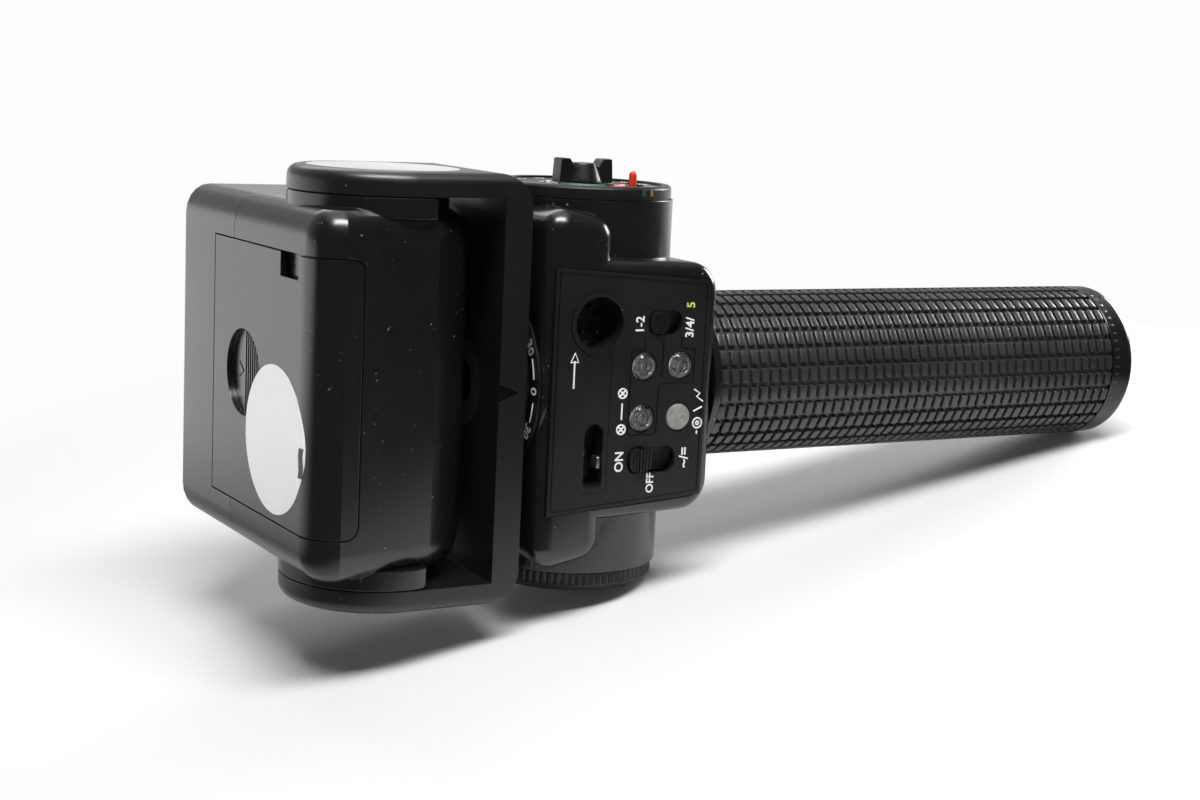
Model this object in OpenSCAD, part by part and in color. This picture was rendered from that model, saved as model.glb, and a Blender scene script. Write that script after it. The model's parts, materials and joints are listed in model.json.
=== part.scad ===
// Handle mount flash lying on its side: X runs along the handle, the control panel
// looks towards -Y, the lamp head fires towards +Y and the dial is on top (+Z).
// Places along X are measured from the joint between body and handle.

/* [Handle] */
// Outer radius of the rubber grip
grip_r = 23; // [22:0.1:26]
// Rings of blocks along the grip
grip_rings = 45; // [30:1:50]
// Length of one ring of blocks with its groove
ring_pitch = 3.22; // [3:0.02:4]
// Blocks around the grip
grip_rows = 28; // [20:1:32]
// Depth of the grooves between the blocks
groove_depth = 1.1; // [0.6:0.1:1.6]
// Width of the ring grooves between the blocks
groove_w = 0.8; // [0.6:0.1:1.4]
// Width of the lengthwise grooves between the blocks
row_groove = 1.1; // [0.6:0.1:1.6]
// Outer radius of the handle tube
tube_r = 20; // [19:0.1:20.8]
// Wall of the handle tube
tube_wall = 2.4; // [1.5:0.1:3]
// Outer radius of the collar between body and grip
collar_r = 23.7; // [23:0.1:25]
// Length of the collar
collar_len = 2.2; // [1.5:0.1:4]
// Length of the end cap past the grip
cap_len = 6; // [4:0.5:12]
// Rounding of the end cap's rim
cap_round = 3.4; // [1:0.2:3.8]
// Length of the main capacitor in the handle
capacitor_len = 112; // [60:1:120]

/* [Body] */
// Distance from the handle joint to the dial axis
dial_x = 28; // [26:0.5:30]
// Height of the dial axis in front of the handle axis
dial_y = 4.8; // [4:0.1:6]
// Radius of the round barrel that carries dial and wheel
barrel_r = 24.7; // [24:0.1:26]
// Height of the barrel's upper end above the shoulder's side
barrel_rise = 1.9; // [1.5:0.1:3]
// Distance from the handle axis to the body's rear face
body_rear = 23.6; // [23:0.1:26]
// Distance from the handle axis to the body's front face
body_front = 27; // [26:0.5:32]
// Distance from the handle joint to the shoulder's upper end
shoulder_end = 52; // [51.8:0.1:53]
// Step from the barrel's lower end to the shoulder's side
shoulder_step = 2.7; // [2:0.1:4]
// Length of the shoulder along the handle
shoulder_len = 20; // [18:0.5:22]
// Half width of the lower block
block_half = 34.4; // [33.5:0.1:36]
// Narrowing of the shoulder and the panel, in mm per mm
edge_slope = 0.074; // [0:0.002:0.1]
// Narrowing of the lower block, in mm per mm
block_slope = 0.03; // [0:0.002:0.1]
// Corner radius of the shoulder
shoulder_r = 6; // [5.5:0.1:8]
// Corner radius of the lower block
block_r = 8; // [5:0.2:9]
// Rounding of the shoulder's long edges
shoulder_edge = 5; // [3:0.2:5.4]
// Rounding of the lower block's long edges
block_edge = 3.2; // [2:0.2:4]
// Wall of the body shells
body_wall = 2.2; // [1.8:0.1:3]

/* [Panel] */
// Distance from the handle joint to the panel's lower edge
panel_low = 3.2; // [3:0.1:5]
// Length of the panel along the handle
panel_len = 46.2; // [45:0.1:46.5]
// Half width of the panel at its upper edge
panel_half = 32.3; // [31.5:0.1:33]
// Thickness of the panel
panel_t = 1.6; // [1.2:0.1:2]
// Height of the panel above the body's rear face
panel_proud = 0.4; // [0.2:0.1:0.8]
// Bore radius of the round sensor socket
socket_r = 6.9; // [6:0.1:7]
// Depth of the round sensor socket
socket_depth = 8; // [6:0.2:9]
// Radius of the lamp windows
lamp_r = 3.5; // [2.5:0.1:3.6]
// Travel of the mode slider
mode_travel = 4.2; // [3:0.1:4.4]
// Travel of the power slider
power_travel = 7.2; // [5:0.1:7.6]
// Travel of the test button
button_travel = 0.9; // [0.5:0.1:1.2]
// Height of the slider caps above the panel
slider_proud = 1.1; // [0.6:0.1:1.5]

/* [Dial and wheel] */
// Radius of the dial bezel
dial_r = 24.1; // [23.8:0.1:25]
// Height of the dial bezel
dial_h = 3.5; // [3.2:0.1:5]
// Radius of the circle that the setting pin runs on
pin_circle = 15; // [13:0.1:16]
// Angle of the setting pin from +X at rest
pin_angle = -55; // [-80:1:-30]
// Travel of the setting pin each way
pin_travel = 60; // [30:1:70]
// Span of the knob's two wings
wing_span = 15.4; // [13:0.2:18]
// Height of the knob above the dial plate
knob_h = 6.4; // [5:0.2:8]
// Radius of the knurled wheel
wheel_r = 23.75; // [23:0.05:24.5]
// Height of the knurled wheel
wheel_h = 5.4; // [4.8:0.1:6]
// Grooves around the knurled wheel
knurls = 75; // [40:1:90]

/* [Yoke] */
// Radius of the round that the head swings in
swing_r = 23.2; // [22:0.1:25]
// Largest tilt of the head
tilt_max = 65; // [45:1:65]
// Distance from the handle axis to the tilt and swivel axes
pivot_y = 2.5; // [2:0.1:3.5]
// Radius of the arms' round ends
arm_r = 24.2; // [23.5:0.1:25]
// Thickness of the arms
arm_t = 6.1; // [5:0.1:8]
// Rounding of the arms' outer edges
arm_edge = 3; // [1:0.2:4]
// Thickness of the yoke's base
base_t = 7.7; // [6:0.1:7.8]
// Radius of the yoke's outer corners
base_corner = 9; // [5:0.5:12]
// Height of the hub between the base and the swivel scale
hub_h = 2.7; // [2:0.1:4]
// Radius of that hub
hub_round = 20; // [16:0.5:22]
// Radius of the swivel scale
scale_r = 24.6; // [23:0.1:25]
// Radius of the tilt pins
pin_r = 5; // [3.5:0.1:6]
// Radius of the hollow swivel shaft
shaft_r = 9; // [7:0.1:10]

/* [Head] */
// Width of the head beside the lamp window
head_side = 7.2; // [6:0.1:9]
// Height of the pivot bosses above the head's sides
boss_h = 2.9; // [2:0.1:4]
// Rounding of the head's side edges
head_edge = 8; // [4:0.2:10]
// Distance from the handle axis to the head's front
head_front = 72.6; // [68:0.2:76]
// Distance from the handle axis to the head's rear face
head_rear = 24.3; // [23:0.1:24.8]
// Distance from the tilt axis to the head's top above its rear corner
head_rise = 27.1; // [26:0.1:30]
// Rise of the head's top towards the front, in mm per mm
top_slope = 0.054; // [0.03:0.002:0.08]
// Radius of the top rear corner
top_corner = 10; // [8:0.5:12]
// Distance from the handle axis to the seam behind the front bezel
seam_y = 30; // [29:0.5:34]
// Wall of the head shells
head_wall = 2.2; // [1.8:0.1:3]
// Half width of the battery cover
cover_half = 34.3; // [33:0.1:36]
// Thickness of the battery cover
cover_t = 1.8; // [1.4:0.1:2]
// Distance from the handle axis to the cover's front edge
cover_front = 43.5; // [41:0.5:45]
// Length of the cover's lap down the rear face
cover_lap = 13.4; // [12:0.2:15]
// Rounding of that lap's corners
lap_round = 3; // [1:0.5:5]
// Radius of a battery cell
cell_r = 7.1; // [6.5:0.05:7.15]
// Length of a battery cell
cell_len = 50; // [44:0.5:50.5]
// Half width of the lamp window
lens_half = 39; // [34:0.5:40]
// Height of the lamp window
lens_h = 38; // [30:0.5:40]
// Ribs across the lamp window
lens_ribs = 19; // [9:2:25]

/* [Fits] */
// Radial clearance of a shaft in its bore
run_gap = 0.06; // [0.03:0.01:0.1]
// Clearance between pieces that move past each other
free_gap = 0.3; // [0.2:0.05:0.4]
// Clearance between pieces that are fixed together
seat_gap = 0.05; // [0:0.01:0.1]

/* [Hidden] */
$fn = 96;
eps = 0.02;
big = 400;

// Handle stations
grip_start = collar_len;
grip_end = grip_start + grip_rings * ring_pitch;
handle_end = grip_end + cap_len;
tube_bore = tube_r - tube_wall;

// Stations across the head, the yoke's arms and the body
head_half = lens_half + head_side;
boss_out = head_half + boss_h;
arm_in = boss_out + free_gap;
arm_out = arm_in + arm_t;
barrel_low = arm_out - wheel_h - free_gap;
shoulder_half = barrel_low - shoulder_step;
barrel_top = shoulder_half + barrel_rise;

// Body stations
dial_axis = [-dial_x, dial_y, 0];
shoulder_low = shoulder_end - shoulder_len;
shelf_r = scale_r + 1;
shelf_top = shoulder_end - 0.4;
shelf_edge = 0.5;
fillet_r = 6;
rear_y = -body_rear;
panel_face = rear_y - panel_proud;
panel_back = panel_face + panel_t;
panel_up = panel_low + panel_len;
panel_low_half = panel_half - panel_len * edge_slope;
wall_y = panel_back + 1.6;
screw_at = [[-43, 34], [-43, -34], [-8, 22], [-8, -22]];
screw_r = 1.5;
screw_head_r = 2.8;
bracket_x = 13.6;
bracket_r = 6;
bracket_len = 12;
thread_r = 3.175;

// Panel stations: distances from the handle joint and heights
socket_at = [-36.4, 17.9];
strip_at = [-36.2, -7.8];
strip_size = [7.8, 38];
slot_at = [-36.4, -16.9];
slot_size = [5.6, 16.8];
slot_depth = 4.4;
mode_at = [-16.7, 17.8];
mode_slot = [9.9, 6.4];
power_at = [-18.9, -18.7];
power_slot = [14.4, 7.2];
slot_flat = 0.7;
lamp_cols = [-22.4, -11.4];
lamp_rows = [6.3, -7.5];
lamp_spots = [[lamp_cols[0], lamp_rows[0]], [lamp_cols[1], lamp_rows[0]], [lamp_cols[0], lamp_rows[1]]];
lamp_foot = 1.2;
button_at = [lamp_cols[1], lamp_rows[1]];
button_foot = 1.9;
slider_grooves = 6;
slider_groove = 0.35;
mode_cap = mode_slot[0] - mode_travel - 2 * free_gap;
power_cap = power_slot[0] - power_travel - 2 * free_gap;
slider_face = panel_face - slider_proud;
mode_left = [mode_at[0] - mode_slot[0] / 2 + free_gap, mode_at[1]];
power_left = [power_at[0] - power_slot[0] / 2 + free_gap, power_at[1]];
board_y = panel_face + 10.6;
board_t = 1.6;
board_up = panel_up - 9.4;
board_low = panel_low + 2.3;
board_half = panel_low_half - 1.9;
switch_y = panel_back + 2.7;
core_size = [16, 9, 12];
coil_size = [10, 7, 18];
core_at = [1.3 - (panel_low + panel_up) / 2, board_y + board_t + core_size[1] / 2, 0];

// Dial stations
bezel_low = barrel_top + 0.1;
dial_top = bezel_low + dial_h;
plate_low = bezel_low + 1.3;
plate_t = 1.6;
plate_top = plate_low + plate_t;
plate_r = dial_r - 2.6;
hub_r = 6;
disc_t = 1.5;
disc_low = plate_low - free_gap - disc_t;
disc_r = plate_r - 2;
deck_top = disc_low - free_gap;
deck_t = 2.4;
ledge_z = deck_top - deck_t;
spindle_r = 2.5;
setting_pin_r = 1.05;
setting_pin_h = 4.2;
knob_low_r = 5.3;
knob_top_r = 3.6;
wing_t = 5;

// Wheel stations
wheel_top = -barrel_low - free_gap;
wheel_low = -arm_out;
knurl_h = 3.2;
stud_r = 4;
bush_r = 8;
bush_len = 10;
floor_t = 4;

// Yoke stations
scale_t = 1.5;
scale_top = shoulder_end + 0.3;
base_low = scale_top + free_gap + hub_h;
base_up = base_low + base_t;
pivot_x = base_up + free_gap + swing_r;
pivot = [-pivot_x, pivot_y, 0];
neck_r = shaft_r + 3;
clip_t = 1.2;
cavity_up = scale_top - scale_t - body_wall - 2;
bearing_end = -cavity_up + 2;
boss_end = 5.4;
arrow_len = 6;
arrow_half = 2.5;
arrow_depth = 0.4;
near_face = pivot_y - arm_r + 0.6;
washer_r = 15;
washer_t = 1.2;
pin_cap_r = 9;
pin_cap_t = 1.6;
cover_disc_r = arm_r - 4.6;
cover_disc_t = 1.2;

// Head stations
head_low = pivot_x - swing_r + free_gap;
head_top = pivot_x + head_rise;
crease_angle = -73;
ridge_angle = -44;
ridge_r = 6;
foot_angle = -12;
front_corner = 7;
cable_notch = [11, 6];
cable_y = -6.5;
thumb_at = [22.6, 0.4];
thumb_r = 11.3;
thumb_depth = 0.9;
cell_pitch = 2 * cell_r + 0.4;
tray_wall = 1.3;
tray_top = head_top - head_wall - cover_t - 2 * free_gap - 1;
cell_row = [-1, 0, 1];
cell_y = 6.6;
cell_x = [-tray_top + cell_r + 0.3, -tray_top + cell_r + 0.3 + cell_pitch];
tray_y0 = cell_y - 1.5 * cell_pitch - tray_wall;
tray_len = 3 * cell_pitch + 2 * tray_wall;
tray_low = tray_top - 2 * cell_pitch - tray_wall - 0.6;
lens_at = -pivot_x - 4.5;
bezel_t = 4;
lens_sink = 1;
lens_rim = 1.5;
flange_t = 2;
flange_y = head_front - bezel_t - flange_t;
mouth_y = flange_y - 0.1;
trough_t = 0.8;
trough_depth = 26;
tube_glass_r = 3;
tube_lift = 9;
tube_y = mouth_y - trough_depth + tube_lift;
coil_r = 4;
coil_len = 8;
coil_flange = 1;

// Overall box and the frame's origin at the middle of its underside
head_peak = top_at(head_front) + front_corner * (1 - cos(atan(top_slope)));
mid_x = (handle_end + head_peak) / 2;
mid_y = (head_front + slider_face) / 2;

// General helpers
module place() translate([-mid_x, -mid_y, arm_out]) children();
module along_y(y0, y1) translate([0, y1, 0]) rotate([90, 0, 0]) linear_extrude(y1 - y0) children();
module on_axis(x0, x1, r, y = 0) translate([x0, y, 0]) rotate([0, 90, 0]) cylinder(r = r, h = x1 - x0);
module up_axis(at, z0, z1, r) translate([at[0], at[1], z0]) cylinder(r = r, h = z1 - z0);
module out_axis(at, y0, y1, r) translate([at[0], y0, at[1]]) rotate([-90, 0, 0]) cylinder(r = r, h = y1 - y0);
module both_sides() for (m = [0, 1]) mirror([0, 0, m]) children();
module slot_2d(at, size, r) translate(at) {
  square([size[0] - 2 * r, size[1]], center = true);
  square([size[0], size[1] - 2 * r], center = true);
  for (i = [-1, 1], j = [-1, 1])
    translate([i * (size[0] / 2 - r), j * (size[1] / 2 - r)]) circle(r, $fn = 48);
}
module turned_x(points) translate([0, pivot_y, 0]) rotate([0, -90, 0]) rotate_extrude() polygon(points);
function arc(c, r, a0, a1, n = 8) =
  [for (i = [0 : n]) let (a = a0 + (a1 - a0) * i / n) [c[0] + r * cos(a), c[1] + r * sin(a)]];

// Handle
module grip_comb() rotate_extrude() difference() {
  translate([tube_r + seat_gap, grip_start]) square([grip_r - tube_r - seat_gap, grip_end - grip_start]);
  for (i = [1 : grip_rings - 1])
    translate([grip_r - groove_depth, grip_start + i * ring_pitch - groove_w / 2])
      square([groove_depth + 1, groove_w]);
}

module rubber_grip() color("#17181a") place() rotate([0, 90, 0]) difference() {
  grip_comb();
  for (i = [0 : grip_rows - 1]) rotate(360 / grip_rows * i)
    translate([grip_r - groove_depth, -row_groove / 2, grip_start - 1])
      cube([groove_depth + 1, row_groove, grip_end - grip_start + 2]);
}

module grip_collar() color("#121314") place() difference() {
  on_axis(eps, collar_len - eps, collar_r);
  on_axis(-1, collar_len + 1, tube_r + seat_gap);
}

module handle_tube() color("#2a2b2d") place() difference() {
  union() {
    on_axis(-body_wall - 2, grip_end, tube_r);
    on_axis(-body_wall - 2, -body_wall - seat_gap, tube_r + 0.6);
  }
  on_axis(-body_wall - 3, grip_end + 1, tube_bore);
}

module end_cap() color("#141517") place() {
  rotate([0, 90, 0]) rotate_extrude() polygon(concat(
    [[0, grip_end + eps], [grip_r, grip_end + eps]],
    arc([grip_r - cap_round, handle_end - cap_round], cap_round, 0, 90),
    [[0, handle_end]]));
  on_axis(grip_end - 10, grip_end + 1, tube_bore - seat_gap);
}

module main_capacitor() color("#1d2430") place() {
  on_axis(6, 6 + capacitor_len, tube_bore - free_gap);
  for (s = [-1, 1]) translate([0, s * 5, 0]) on_axis(1, 6 + eps, 1.2);
}

// Body
module corner_post(x, z, r, edge) for (y = [rear_y + edge, body_front - edge])
  translate([x, y, z]) rotate([90, 0, 0]) rotate_extrude($fn = 32)
    polygon(concat([[0, -edge]], arc([r - edge, 0], edge, -90, 90, 8), [[0, edge]]));

module taper_slab(x_up, x_low, half, slope, r, edge) hull() for (m = [-1, 1]) {
  corner_post(-x_up + r, m * (half - r), r, edge);
  corner_post(-x_low - r, m * (half - (x_up - x_low) * slope - r), r, edge);
}

module inner_fillets() let (side = block_half - 2 * block_r * block_slope) both_sides() difference() {
  along_y(rear_y + block_edge, body_front - block_edge)
    translate([-shoulder_low - 1, side - 1]) square((fillet_r + 1) * [1, 1]);
  translate([-shoulder_low + fillet_r, 0, side + fillet_r]) rotate([90, 0, 0])
    cylinder(r = fillet_r, h = big, center = true);
}

module scale_shelf() turned_x([[0, shoulder_low], [shelf_r, shoulder_low], [shelf_r, shelf_top - shelf_edge],
  [shelf_r - shelf_edge, shelf_top], [0, shelf_top]]);

module body_form() {
  taper_slab(shoulder_end, shoulder_low, shoulder_half, edge_slope, shoulder_r, shoulder_edge);
  taper_slab(shoulder_low + 10, 0, block_half + 10 * block_slope, block_slope, block_r, block_edge);
  inner_fillets();
  scale_shelf();
  difference() {
    up_axis(dial_axis, -barrel_low, barrel_top, barrel_r);
    translate([-big - shoulder_end, -big, -big]) cube([big, 2 * big, 2 * big]);
  }
}

module body_cavity() {
  front_wall = body_front - body_wall;
  along_y(wall_y, front_wall) {
    translate([-cavity_up, -shoulder_half + 5])
      square([cavity_up - shoulder_low - body_wall - 2, 2 * shoulder_half - 10]);
    translate([-cavity_up, -block_half + 6]) square([cavity_up - body_wall, 2 * block_half - 12]);
  }
  up_axis(dial_axis, -barrel_low + floor_t, ledge_z - 2.5, barrel_r - body_wall);
  up_axis(dial_axis, ledge_z - 3, ledge_z, barrel_r - body_wall - 2.4);
  up_axis(dial_axis, ledge_z, barrel_top + 1, barrel_r - body_wall);
}

module panel_outline(grow) polygon([
  [-panel_up - grow, panel_half + grow], [-panel_low + grow, panel_low_half + grow],
  [-panel_low + grow, -panel_low_half - grow], [-panel_up - grow, -panel_half - grow]]);

module body_hollow() difference() {
  body_form();
  body_cavity();
  along_y(-big, panel_back) panel_outline(seat_gap);
  along_y(-big, wall_y + 1) panel_outline(-2.4);
  on_axis(-body_wall - 1, 1, tube_r + seat_gap);
  on_axis(-scale_top - 1, -scale_top + scale_t, scale_r + seat_gap, pivot_y);
  on_axis(-shoulder_end - 1, -shoulder_low, neck_r + seat_gap, pivot_y);
  up_axis(dial_axis, -barrel_low - 1, 0, bush_r + seat_gap);
}

module body_rear_shell() color("#16171a") place() intersection() {
  body_hollow();
  translate([-big, -big, -big]) cube([2 * big, big + dial_y - eps, 2 * big]);
}

module body_front_shell() color("#16171a") place() difference() {
  union() {
    intersection() {
      body_hollow();
      translate([-big, dial_y + eps, -big]) cube([2 * big, big, 2 * big]);
    }
    out_axis([-bracket_x, 0], body_front - bracket_len, body_front - 1, bracket_r + 3);
    for (p = screw_at) out_axis(p, body_front - 8, body_front - 1, screw_head_r + 0.8);
  }
  out_axis([-bracket_x, 0], body_front - bracket_len - 1, body_front + 1, bracket_r + seat_gap);
  for (p = screw_at) {
    out_axis(p, body_front - 9, body_front + 1, screw_r + 0.1);
    out_axis(p, body_front - 2.4, body_front + 1, screw_head_r + 0.2);
  }
}

module body_screws() color("#8d9094") place() for (p = screw_at) difference() {
  union() {
    out_axis(p, body_front - 8, body_front - 2.3, screw_r);
    out_axis(p, body_front - 2.35, body_front - 0.5, screw_head_r);
  }
  translate([p[0], body_front - 0.8, p[1]]) cube([4, 1.2, 0.7], center = true);
  translate([p[0], body_front - 0.8, p[1]]) cube([0.7, 1.2, 4], center = true);
}

module bracket_socket() color("#b08d45") place() difference() {
  union() {
    out_axis([-bracket_x, 0], body_front - bracket_len, body_front, bracket_r);
    out_axis([-bracket_x, 0], body_front - bracket_len - 1.5, body_front - bracket_len, bracket_r + 2);
  }
  out_axis([-bracket_x, 0], body_front - 10, body_front + 1, thread_r);
}

// Swivel joint below the yoke
module swivel_scale() color("#0f1011") place() difference() {
  on_axis(-scale_top, -scale_top + scale_t - eps, scale_r, pivot_y);
  on_axis(-scale_top - 1, -scale_top + scale_t + 1, neck_r + seat_gap, pivot_y);
}

module swivel_bearing() color("#6f7276") place() difference() {
  union() {
    on_axis(-scale_top, bearing_end, neck_r, pivot_y);
    on_axis(-cavity_up + eps, bearing_end, neck_r + 3, pivot_y);
  }
  on_axis(-base_low, bearing_end + 1, shaft_r + run_gap, pivot_y);
}

module swivel_shaft() color("#a9acb0") place() difference() {
  union() {
    on_axis(-base_up + 1.6, bearing_end + 3.6, shaft_r, pivot_y);
    on_axis(-base_up + 0.1, -base_up + 1.6, shaft_r + 3, pivot_y);
  }
  on_axis(-base_up - 1, bearing_end + 5, shaft_r - 2.6, pivot_y);
  difference() {
    on_axis(bearing_end + free_gap, bearing_end + free_gap + clip_t + 0.1, shaft_r + 1, pivot_y);
    on_axis(bearing_end, bearing_end + 5, shaft_r - 0.8, pivot_y);
  }
}

module swivel_clip() color("#c2c4c6") place() difference() {
  on_axis(bearing_end + free_gap + 0.05, bearing_end + free_gap + clip_t + 0.05, shaft_r + 2, pivot_y);
  on_axis(bearing_end, bearing_end + 5, shaft_r - 0.8 + seat_gap, pivot_y);
  translate([bearing_end - 1, pivot_y - 2, 0]) cube([6, 4, 20]);
}

// Control panel
module control_panel() color("#121315") place() along_y(panel_face, panel_back) difference() {
  panel_outline(0);
  translate(socket_at) circle(socket_r + 1.3 + seat_gap);
  slot_2d(strip_at, strip_size + [2, 2] * seat_gap, 0.8);
  slot_2d(mode_at, mode_slot, mode_slot[1] / 2 - slot_flat);
  slot_2d(power_at, power_slot, power_slot[1] / 2 - slot_flat);
  for (x = lamp_cols, z = lamp_rows) translate([x, z]) circle(lamp_r + free_gap);
}

module sensor_socket() color("#0e0f10") place() difference() {
  union() {
    out_axis(socket_at, panel_face - 0.3, panel_face + socket_depth + 1, socket_r + 1.3);
    along_y(panel_face + 0.1, panel_back) slot_2d(strip_at, strip_size, 0.8);
    along_y(panel_back - eps, panel_back + 5.6) slot_2d(slot_at, slot_size + [2, 2], 1);
  }
  out_axis(socket_at, panel_face - 1, panel_face + socket_depth, socket_r);
  along_y(panel_face - 1, panel_back + slot_depth) slot_2d(slot_at, slot_size, 1.2);
  contact_pads(seat_gap);
}

module contact_pads(grow) {
  for (i = [0 : 4])
    out_axis(socket_at + 3.6 * [cos(72 * i + 18), sin(72 * i + 18)],
      panel_face + socket_depth - grow, panel_face + socket_depth + 0.5 + grow, 0.9 + grow);
  for (s = [-1, 1])
    translate([slot_at[0], panel_back + slot_depth + 0.3, slot_at[1] - 3 + s * 3])
      cube([2.4, 0.6, 1.6] + 2 * grow * [1, 1, 1], center = true);
}

module socket_contacts() color("#b9975a") place() contact_pads(0);

module lamp_windows() color("#cfd3d6", 0.6) place() for (p = lamp_spots)
  translate([p[0], panel_face, p[1]]) rotate([90, 0, 0]) rotate_extrude() polygon(concat(
    [[0, -panel_t - lamp_foot], [lamp_r + 0.8, -panel_t - lamp_foot], [lamp_r + 0.8, -panel_t - eps]],
    [[lamp_r, -panel_t - eps], [lamp_r, 0]], arc([lamp_r - 0.8, 0], 0.8, 0, 90, 4), [[0, 1]]));

module signal_lamps() color("#d8d2c4") place() for (p = lamp_spots)
  out_axis(p, panel_back + lamp_foot + seat_gap, board_y - eps, 1.5);

module test_button() color("#d5d6d2") place() translate([button_at[0], panel_face, button_at[1]])
  rotate([90, 0, 0]) rotate_extrude() polygon(concat(
    [[0, -panel_t - button_foot], [lamp_r + 1, -panel_t - button_foot], [lamp_r + 1, -panel_t - free_gap]],
    [[lamp_r, -panel_t - free_gap]], arc([lamp_r - 0.5, 0], 0.5, 0, 90, 4), [[0, 0.5]]));

module test_switch() color("#3a3c40") place() difference() {
  translate([button_at[0] - 3, panel_back + button_foot + button_travel, button_at[1] - 3])
    cube([6, board_y - panel_back - button_foot - button_travel - eps, 6]);
  out_axis(button_at, panel_back, panel_back + button_foot + button_travel + 0.3, 1.2);
}

module slider(at, cap, width) {
  difference() {
    along_y(slider_face, switch_y - free_gap)
      slot_2d([at[0] + cap / 2, at[1]], [cap, width], width / 2 - slot_flat);
    for (i = [1 : slider_grooves]) let (x = at[0] + cap * i / (slider_grooves + 1))
      translate([x - slider_groove / 2, slider_face - 0.1, at[1] - width])
        cube([slider_groove, 0.6, 2 * width]);
  }
  translate([at[0] - 1, panel_back + free_gap, at[1] - width / 2 - 1.2])
    cube([cap + 2, 1.1, width + 2.4]);
}

module mode_slider() color("#1b1c1e") place() slider(mode_left, mode_cap, mode_slot[1] - 2 * free_gap);
module power_slider() color("#1b1c1e") place() slider(power_left, power_cap, power_slot[1] - 2 * free_gap);

module switch_block(at, size) translate([at[0] - size[0] / 2, switch_y, at[1] - size[1] / 2])
  cube([size[0], board_y - switch_y - eps, size[1]]);

module mode_switch() color("#34373b") place() switch_block(mode_at, [13, 7]);
module power_switch() color("#34373b") place() switch_block(power_at, [17, 7.4]);

module circuit_board() color("#3f5a3a") place()
  translate([-board_up, board_y, -board_half]) cube([board_up - board_low, board_t, 2 * board_half]);

module transformer() color("#7a5a2c") place() translate(core_at) {
  cube(core_size, center = true);
  cube(coil_size, center = true);
}

// Dial on top of the barrel
module dial_deck() color("#2b2d30") place() difference() {
  union() {
    up_axis(dial_axis, ledge_z + eps, deck_top, barrel_r - body_wall - seat_gap);
    up_axis(dial_axis, deck_top - 1, plate_low - eps, hub_r);
  }
  up_axis(dial_axis, ledge_z - 1, dial_top, spindle_r + run_gap);
}

module dial_bezel() color("#131416") place() translate(dial_axis) rotate_extrude() polygon([
  [disc_r + free_gap, bezel_low], [dial_r, bezel_low], [dial_r, dial_top - 0.7],
  [dial_r - 0.7, dial_top], [plate_r + seat_gap, dial_top], [plate_r + seat_gap, plate_low],
  [disc_r + free_gap, plate_low]]);

module dial_plate() color("#1a1b1d") place() translate(dial_axis) difference() {
  translate([0, 0, plate_low + eps]) cylinder(r = plate_r, h = plate_t);
  translate([0, 0, plate_low - 1]) cylinder(r = spindle_r + free_gap, h = plate_t + 2);
  translate([0, 0, plate_low - 1]) rotate(pin_angle - pin_travel - 6)
    rotate_extrude(angle = 2 * pin_travel + 12) translate([pin_circle - 1.4, 0]) square([2.8, plate_t + 2]);
}

module speed_disc() color("#26282b") place() translate(dial_axis) difference() {
  translate([0, 0, disc_low]) cylinder(r = disc_r, h = disc_t);
  translate([0, 0, disc_low - 1]) cylinder(r = hub_r + run_gap, h = disc_t + 2);
}

module setting_pin() color("#e0311c") place() translate(dial_axis) rotate(pin_angle)
  translate([pin_circle, 0, 0]) rotate_extrude() polygon(concat(
    [[0, disc_low + disc_t], [setting_pin_r, disc_low + disc_t]],
    arc([0, plate_top + setting_pin_h - setting_pin_r], setting_pin_r, 0, 90, 6)));

module wing_knob() color("#1c1d1f") place() translate(dial_axis + [0, 0, plate_top + free_gap]) difference() {
  union() {
    cylinder(r1 = knob_low_r, r2 = knob_top_r, h = knob_h - 1.2);
    for (m = [0, 1]) mirror([m, 0, 0]) rotate([90, 0, 0]) linear_extrude(wing_t, center = true)
      polygon([[2, 0], [wing_span / 2 + 0.4, 0], [wing_span / 2, knob_h],
        [knob_top_r + 1.4, knob_h], [knob_top_r, knob_h - 2.2], [2, knob_h - 2.2]]);
  }
  translate([0, 0, -1]) cylinder(r = spindle_r + seat_gap, h = knob_h - 1.6);
}

module knob_spindle() color("#a9acb0") place()
  up_axis(dial_axis, ledge_z - 6, plate_top + free_gap + knob_h - 2.8, spindle_r);

module dial_control() color("#4a4d52") place() difference() {
  up_axis(dial_axis, ledge_z - 12, ledge_z - eps, 11);
  up_axis(dial_axis, ledge_z - 6.3, ledge_z + 1, spindle_r + run_gap);
}

// Knurled wheel below the barrel
module knurled_wheel() color("#121315") place() translate(dial_axis) difference() {
  rotate_extrude() polygon([[stud_r + seat_gap, wheel_low + 1.2], [8, wheel_low + 1.2], [9, wheel_low],
    [wheel_r - 3, wheel_low], [wheel_r, wheel_top - knurl_h], [wheel_r, wheel_top - 0.3],
    [wheel_r - 0.3, wheel_top], [stud_r + seat_gap, wheel_top]]);
  for (i = [0 : knurls - 1]) rotate(360 / knurls * i)
    translate([wheel_r + 0.25, 0, wheel_top - knurl_h + 0.1]) cylinder(r = 0.75, h = knurl_h + 1, $fn = 6);
}

module wheel_stud() color("#a9acb0") place()
  up_axis(dial_axis, wheel_low + 1.4, -barrel_low + bush_len + 2, stud_r);

module wheel_bush() color("#b08d45") place() difference() {
  union() {
    up_axis(dial_axis, -barrel_low, -barrel_low + bush_len, bush_r);
    up_axis(dial_axis, -barrel_low + floor_t + eps, -barrel_low + floor_t + 2, bush_r + 3);
  }
  up_axis(dial_axis, -barrel_low - 1, -barrel_low + bush_len + 1, stud_r + run_gap);
}

// Yoke
module arm_outline(inset) {
  half = arm_r - 0.6 - inset;
  translate([-pivot_x, pivot_y]) circle(arm_r - inset, $fn = 64);
  translate([-pivot_x, pivot_y - half]) square([pivot_x - base_low, 2 * half]);
}

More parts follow.
